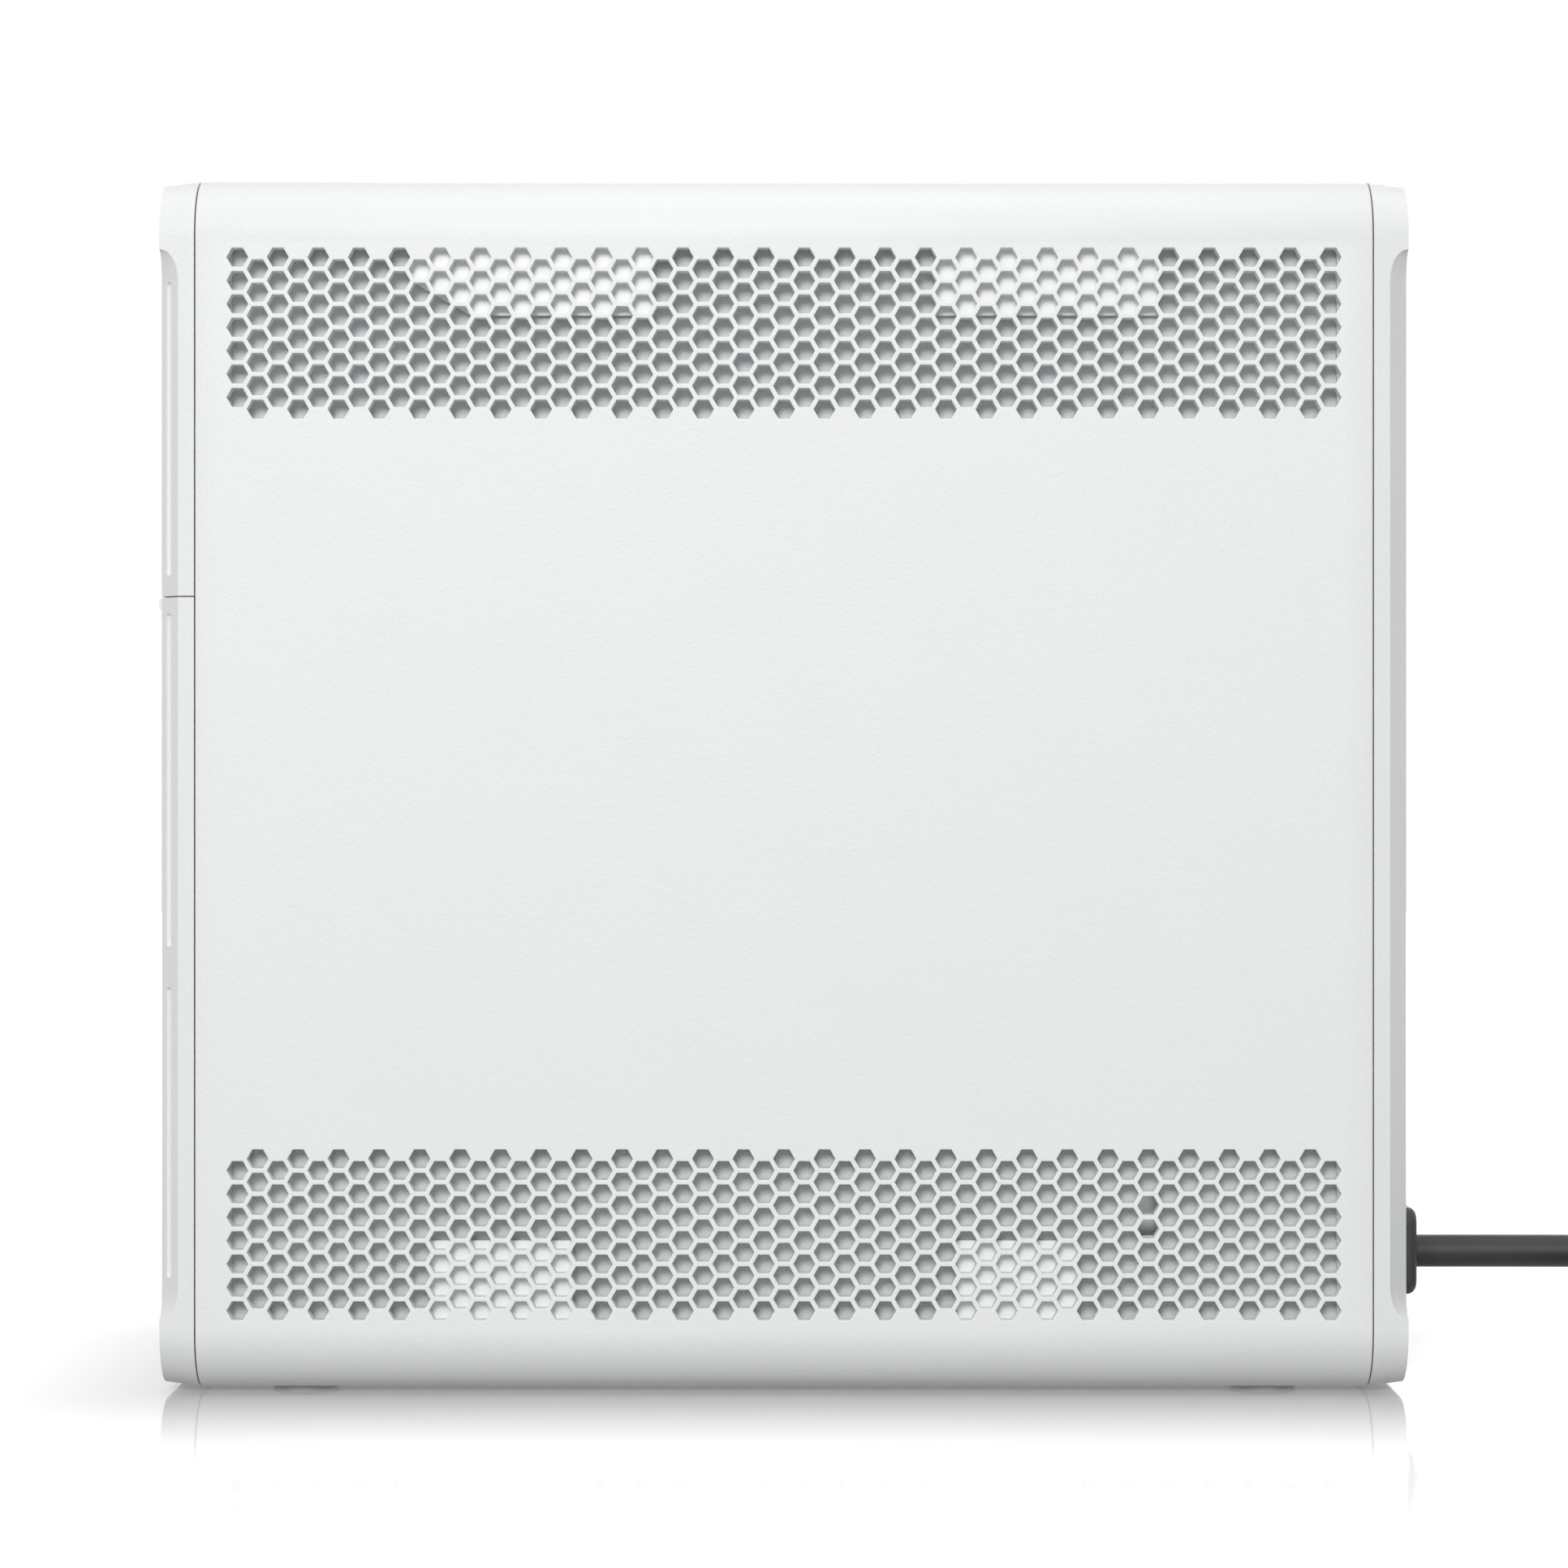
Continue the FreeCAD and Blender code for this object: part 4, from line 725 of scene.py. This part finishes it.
@dataclass
class CaseShell:
    """The white tube with its honeycomb vents, moulded in one.

    Attributes:
        half_length: from the middle to each end, along X.
        half_width: from the middle to each side, along Y.
        half_height: from the middle to the top, along Z.
        middle: the height of its middle.
        corner: the radius of its long edges.
        wall: the thickness of its wall.
        column: the distance between columns of holes.
        columns: how many columns there are.
        rows: how many rows there are.
        flats: the width of a hole across its flats.
        rim: the rounding of a hole's edge.
        turn: how far along the rim its rounding turns, as a share.
        edge: from the top of the case to the first row.
        depth: how deep a hole is.
        strip: a flat border that keeps the sides' shading flat.
        end_round: the rounding of its ends.
        end_steps: the faces across that rounding.
        corner_steps: the faces round a long edge.
        seam: how near two cells' corners have to be to become one.
        slack: how far off a wall's level its open edges may be.
        fold: how sharp an end edge has to be to be rounded, in radians.
    """

    half_length: float = 145.45 * MM
    half_width: float = 60 * MM
    half_height: float = 150.5 * MM
    middle: float = 151.5 * MM
    corner: float = 15 * MM
    wall: float = 3 * MM
    column: float = 5 * MM
    columns: int = 55
    rows: int = 7
    flats: float = 4.65 * MM
    rim: float = 0.1 * MM
    turn: float = 0.3
    edge: float = 20.4 * MM
    depth: float = 4.5 * MM
    strip: float = 0.5 * MM
    end_round: float = 0.4 * MM
    end_steps: int = 3
    corner_steps: int = 14
    seam: float = 0.02 * MM
    slack: float = 0.05 * MM
    fold: float = 1.0

    def cell(self) -> bpy.types.Object:
        """Models one cell of the honeycomb on the side wall.

        Returns:
            The cell, in the first column and row.
        """
        pitch = self.column / math.cos(math.pi / 6)
        reach = pitch / 2 / math.cos(math.pi / 6)
        hole = self.flats / pitch
        lip = (self.flats + 2 * self.rim) / pitch
        first = -self.column * (self.columns - 1) / 2
        centre = (first, -self.half_width, self.half_height - self.edge)
        bpy.ops.object.select_all(action="DESELECT")
        bpy.ops.mesh.primitive_circle_add(vertices=6, radius=reach, location=centre,
                                          rotation=(math.pi / 2, math.pi / 6, 0))
        cell = bpy.context.object
        bpy.ops.object.transform_apply(location=True, rotation=True, scale=True)
        with Work(cell) as work:
            work.all()
            work.shrink(lip, centre)
            waist = lip * self.turn + hole * (1 - self.turn)
            work.shrink(waist / lip, centre, (0, self.rim * self.turn, 0))
            work.shrink(hole / waist, centre, (0, self.rim * (1 - self.turn), 0))
            work.grow((0, self.depth - self.rim, 0))
            work.shrink(1 / hole, centre)
        return cell

    def honeycomb(self) -> bpy.types.Object:
        """Repeats the cell into the upper and lower fields of one side.

        Returns:
            The fields, open round their borders.
        """
        pitch = self.column / math.cos(math.pi / 6)
        even = self.cell()
        odd = bpy.data.objects.new("case_shell_odd", even.data.copy())
        bpy.context.scene.collection.objects.link(odd)
        with Work(odd) as work:
            work.all()
            bpy.ops.transform.translate(value=(self.column, 0, -pitch / 2))
        for piece, count in ((even, (self.columns + 1) // 2), (odd, self.columns // 2)):
            for number, step in ((count, (2 * self.column, 0, 0)), (self.rows, (0, 0, -pitch))):
                modify(piece, "ARRAY", count=number, use_relative_offset=False, use_constant_offset=True,
                       constant_offset_displace=step, use_merge_vertices=False)
        only(odd, even)
        bpy.ops.object.join()
        with Work(even) as work:
            work.merge(self.seam)
        modify(even, "MIRROR", use_axis=(False, False, True), use_clip=False, use_mirror_merge=False)
        return even

    def skin(self, work: Work, level: float, corner: float) -> None:
        """Fills a side wall round the fields, and carries it round the corners to the middle of top and bottom.

        Args:
            work: the open mesh, with one border round each field at this level.
            level: how far the wall is from the middle, along Y.
            corner: the radius of its corners.
        """
        height = self.half_height - self.corner
        bpy.ops.mesh.select_all(action="DESELECT")
        bpy.ops.mesh.primitive_plane_add(size=1, location=(0, -level, 0), rotation=(math.pi / 2, 0, 0))
        bpy.ops.transform.resize(value=(2 * self.half_length, 1, 2 * (height - self.strip)),
                                 center_override=(0, -level, 0))
        bpy.ops.mesh.delete(type="ONLY_FACE")

        def near(edge: Any) -> bool:
            """Tells whether an open edge lies on this wall."""
            return len(edge.link_faces) < 2 and lies(edge, 1, -level, self.slack)

        work.edges(near)
        bpy.ops.mesh.fill(use_beauty=True)
        for side in (-1, 1):
            top = side * (height - self.strip)
            work.edges(lambda e: near(e) and lies(e, 2, top))
            work.grow((0, 0, side * self.strip))
            bpy.ops.mesh.spin(steps=self.corner_steps, angle=side * math.pi / 2, axis=(1, 0, 0),
                              center=(0, corner - level, side * height))
            work.grow((0, self.strip, 0))
            work.grow((0, self.half_width - self.corner - self.strip, 0))

    def build(self) -> bpy.types.Object:
        """Makes the shell.

        Returns:
            The shell.
        """
        shell = self.honeycomb()
        shell.name = shell.data.name = "case_shell"
        inner = self.half_width - self.wall
        with Work(shell) as work:
            self.skin(work, self.half_width, self.corner)
            work.edges(lambda e: len(e.link_faces) == 1 and lies(e, 1, self.depth - self.half_width))
            work.grow((0, self.wall - self.depth, 0))
            self.skin(work, inner, self.corner - self.wall)
            work.merge()
        modify(shell, "MIRROR", use_axis=(False, True, False), use_mirror_merge=True, merge_threshold=CLOSE)
        with Work(shell) as work:
            for side in (-1, 1):
                end = side * self.half_length
                work.edges(lambda e: len(e.link_faces) == 1 and lies(e, 0, end))
                bpy.ops.mesh.bridge_edge_loops()
            work.outward()
            for side in (-1, 1):
                end = side * self.half_length
                work.edges(lambda e: lies(e, 0, end) and e.calc_face_angle(0) > self.fold)
                bpy.ops.mesh.bevel(offset=self.end_round, segments=self.end_steps, affect="EDGES")
            work.all()
            bpy.ops.transform.translate(value=(0, 0, self.middle))
        smooth(shell)
        Shelf.SHELL.on(shell)
        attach(shell, "case")
        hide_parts("outer_sleeve", "vent_grilles")
        return shell


@dataclass
class Covers:
    """The end covers: mouldings with broken edges, each on its own body.

    Attributes:
        edge: the rounding of their edges.
        pieces: node, new piece's name, body, finish and slot.
    """

    edge: float = 0.35 * MM
    pieces: tuple[tuple[str, str, str, Shelf, str], ...] = (
        ("front_upper_cover", "upper_cover", "case", Shelf.COVER, "white_cover"),
        ("front_lower_door", "lower_door", "front_door", Shelf.COVER, "white_cover"),
        ("rear_bezel", "rear_frame", "case", Shelf.COVER, "white_cover"),
        ("power_button", "power_key", "front_button", Shelf.BUTTON, "button_grey"),
        ("reset_button", "reset_key", "rear_reset", Shelf.BUTTON, "button_grey"),
        ("sync_button", "sync_key", "rear_sync", Shelf.BUTTON, "button_grey"),
    )

    def build(self) -> list[bpy.types.Object]:
        """Makes the covers and buttons.

        Returns:
            The pieces.
        """
        made = []
        for node, name, body, finish, slot in self.pieces:
            piece = moulded(node, name, self.edge, dissolve=node != "front_lower_door")
            finish.on(piece)
            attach(piece, body)
            made.append(piece)
        return made


# ---------------------------------------------------------------- nodes of the frame


@dataclass
class Fittings:
    """The nodes that keep their shape: each takes its finish.

    Attributes:
        finishes: the nodes by finish.
    """

    finishes: dict[Shelf, tuple[str, ...]] = field(default_factory=lambda: {
        Shelf.COVER: ("front_frame",),
        Shelf.FEET: ("rubber_feet",),
        Shelf.FOAM: ("door_filter",),
        Shelf.NYLON: ("door_catch_studs", "door_catch_sockets"),
        Shelf.BLACK: ("power_switch", "power_inlet", "button_switches"),
        Shelf.BOARD: ("front_switch_board", "main_board", "radio_board", "power_board"),
        Shelf.GUIDE: ("status_light_bar",),
        Shelf.LAMP: ("status_lights",),
        Shelf.PANEL: ("rear_panel",),
        Shelf.SCREW: ("case_screws", "cover_screws", "fan_screws", "board_screws", "inlet_screws"),
        Shelf.FAN: ("exhaust_fan_frame", "exhaust_fan_rotor", "intake_fan_frame", "intake_fan_rotor"),
        Shelf.SCREEN: ("dust_screens",),
        Shelf.WHITE_BOARD: ("antenna_boards",),
        Shelf.COPPER: ("antenna_elements", "mains_choke"),
        Shelf.TRAY: ("chassis_tray", "power_supply_case"),
        Shelf.GOLD: ("board_standoffs", "jack_contacts", "inlet_pins", "plug_blades"),
        Shelf.SLEEVE: ("board_parts", "bulk_capacitors"),
        Shelf.CHIP: ("processor", "memory_chips"),
        Shelf.SINK: ("processor_heat_sink", "power_heat_sinks"),
        Shelf.CAN: ("shield_cans", "lan_jacks", "wan_jack"),
        Shelf.FERRITE: ("transformer",),
        Shelf.CORD: ("inlet_leads", "supply_lead"),
        Shelf.STRAP: ("cord_tie",),
    })

    def build(self, nodes: dict[str, bpy.types.Object]) -> int:
        """Gives every node its finish.

        Args:
            nodes: the frame's nodes by name.

        Returns:
            How many were dressed.
        """
        count = 0
        for finish, names in self.finishes.items():
            for name in names:
                finish.on(nodes[name])
                count += 1
        return count


# ---------------------------------------------------------------- studio


@dataclass(frozen=True)
class SoftBox:
    """A soft light.

    Attributes:
        name: its name.
        place: where it hangs.
        size: its width and height.
        power: its strength, in watts.
    """

    name: str
    place: Point
    size: tuple[float, float]
    power: float

    def hang(self, aim: Point) -> bpy.types.Object:
        """Hangs it.

        Args:
            aim: what it points at.

        Returns:
            The light.
        """
        bpy.ops.object.light_add(type="AREA", location=self.place)
        lamp = bpy.context.object
        lamp.name = self.name
        lamp.rotation_euler = (Vector(aim) - Vector(self.place)).to_track_quat("-Z", "Y").to_euler()
        lamp.data.shape = "RECTANGLE"
        lamp.data.size, lamp.data.size_y = self.size
        lamp.data.energy = self.power
        return lamp


@dataclass
class Studio:
    """A level camera square to the side, a white floor and soft lights.

    Attributes:
        distance: from the camera to the middle of the case.
        eye: the camera's height.
        lens: the lens, in millimetres.
        sensor: the width of the picture area behind it, in millimetres.
        paper: the size of the floor.
        drop: how far the floor lies under the feet.
        white: how light the floor is.
        gloss: the floor's roughness.
        ambient: the strength of the light from all round.
        boxes: the soft boxes in front, overhead and behind.
        painted_shadow_fade: how fast the paper's painted light grows out of the painted shadow round the case,
            and how strong it gets, as a distance and a strength.
        painted_floor_light: the same for the painted light further out.
    """

    distance: float = 1.1355
    eye: float = 151.5 * MM
    lens: float = 100.0
    sensor: float = 36.0
    paper: float = 8.0
    drop: float = 0.05 * MM
    white: float = 0.74
    gloss: float = 0.08
    ambient: float = 0.35
    boxes: tuple[SoftBox, ...] = (
        SoftBox("key_softbox", (-0.35, -2.8, 1.25), (0.8, 0.8), 55.0),
        SoftBox("top_softbox", (0.1, -0.3, 2.2), (1.4, 1.2), 11.0),
        SoftBox("fill_softbox", (0.3, 2.7, 1.0), (1.4, 1.2), 22.0),
    )
    painted_shadow_fade: tuple[float, float] = (0.1, 0.4)
    painted_floor_light: tuple[float, float] = (1.4, 0.5)

    def camera(self) -> bpy.types.Object:
        """Sets up the camera."""
        bpy.ops.object.camera_add(location=(0, -self.distance, self.eye), rotation=(math.pi / 2, 0, 0))
        camera = bpy.context.object
        camera.data.lens = self.lens
        camera.data.sensor_width = self.sensor
        camera.data.clip_start = 0.01
        bpy.context.scene.camera = camera
        return camera

    def floor(self) -> bpy.types.Object:
        """Lays the floor, whose glow paints the case's shadow round it and lights nothing else."""
        bpy.ops.object.select_all(action="DESELECT")
        bpy.ops.mesh.primitive_plane_add(size=self.paper, location=(0, 0, -self.drop))
        floor = bpy.context.object
        floor.name = "studio_floor"
        floor.visible_diffuse = False
        # The paper's glow paints the case's shadow on the floor round it.
        paper = PaintedShadowPaper("studio_paper", grey(self.white), self.gloss, shadow_core=(0.147, 0.06), least=0.02,
                             near=self.painted_shadow_fade, far=self.painted_floor_light)
        floor.data.materials.append(paper.make())
        return floor

    def build(self) -> None:
        """Sets up the lights and the floor."""
        world = bpy.data.worlds.new("studio")
        bpy.context.scene.world = world
        world.use_nodes = True
        tree = world.node_tree
        around = tree.nodes["Background"]
        around.inputs["Color"].default_value = rgba(grey(1.0))
        around.inputs["Strength"].default_value = self.ambient
        seen = tree.nodes.new("ShaderNodeBackground")
        seen.inputs["Color"].default_value = rgba(grey(1.0))
        seen.inputs["Strength"].default_value = 1.0
        choice = tree.nodes.new("ShaderNodeMixShader")
        path = tree.nodes.new("ShaderNodeLightPath")
        tree.links.new(path.outputs["Is Diffuse Ray"], choice.inputs[0])
        tree.links.new(seen.outputs[0], choice.inputs[1])
        tree.links.new(around.outputs[0], choice.inputs[2])
        tree.links.new(choice.outputs[0], tree.nodes["World Output"].inputs["Surface"])
        lights = [box.hang((0, 0, self.eye)) for box in self.boxes]
        bpy.context.scene.view_settings.view_transform = "Standard"
        self.floor()


def main() -> None:
    """Builds the router round its frame, piece by piece."""
    logging.basicConfig(level=logging.INFO, format="%(message)s")
    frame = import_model()
    studio = Studio()
    studio.camera()
    for piece in MainsLead().build():
        LOG.info("lead: %s", piece.name)
    LOG.info("case: %s", CaseShell().build().name)
    for piece in Covers().build():
        LOG.info("cover: %s", piece.name)
    LOG.info("fittings dressed: %d", Fittings().build(frame["nodes"]))
    studio.build()


if __name__ == "__main__":
    main()
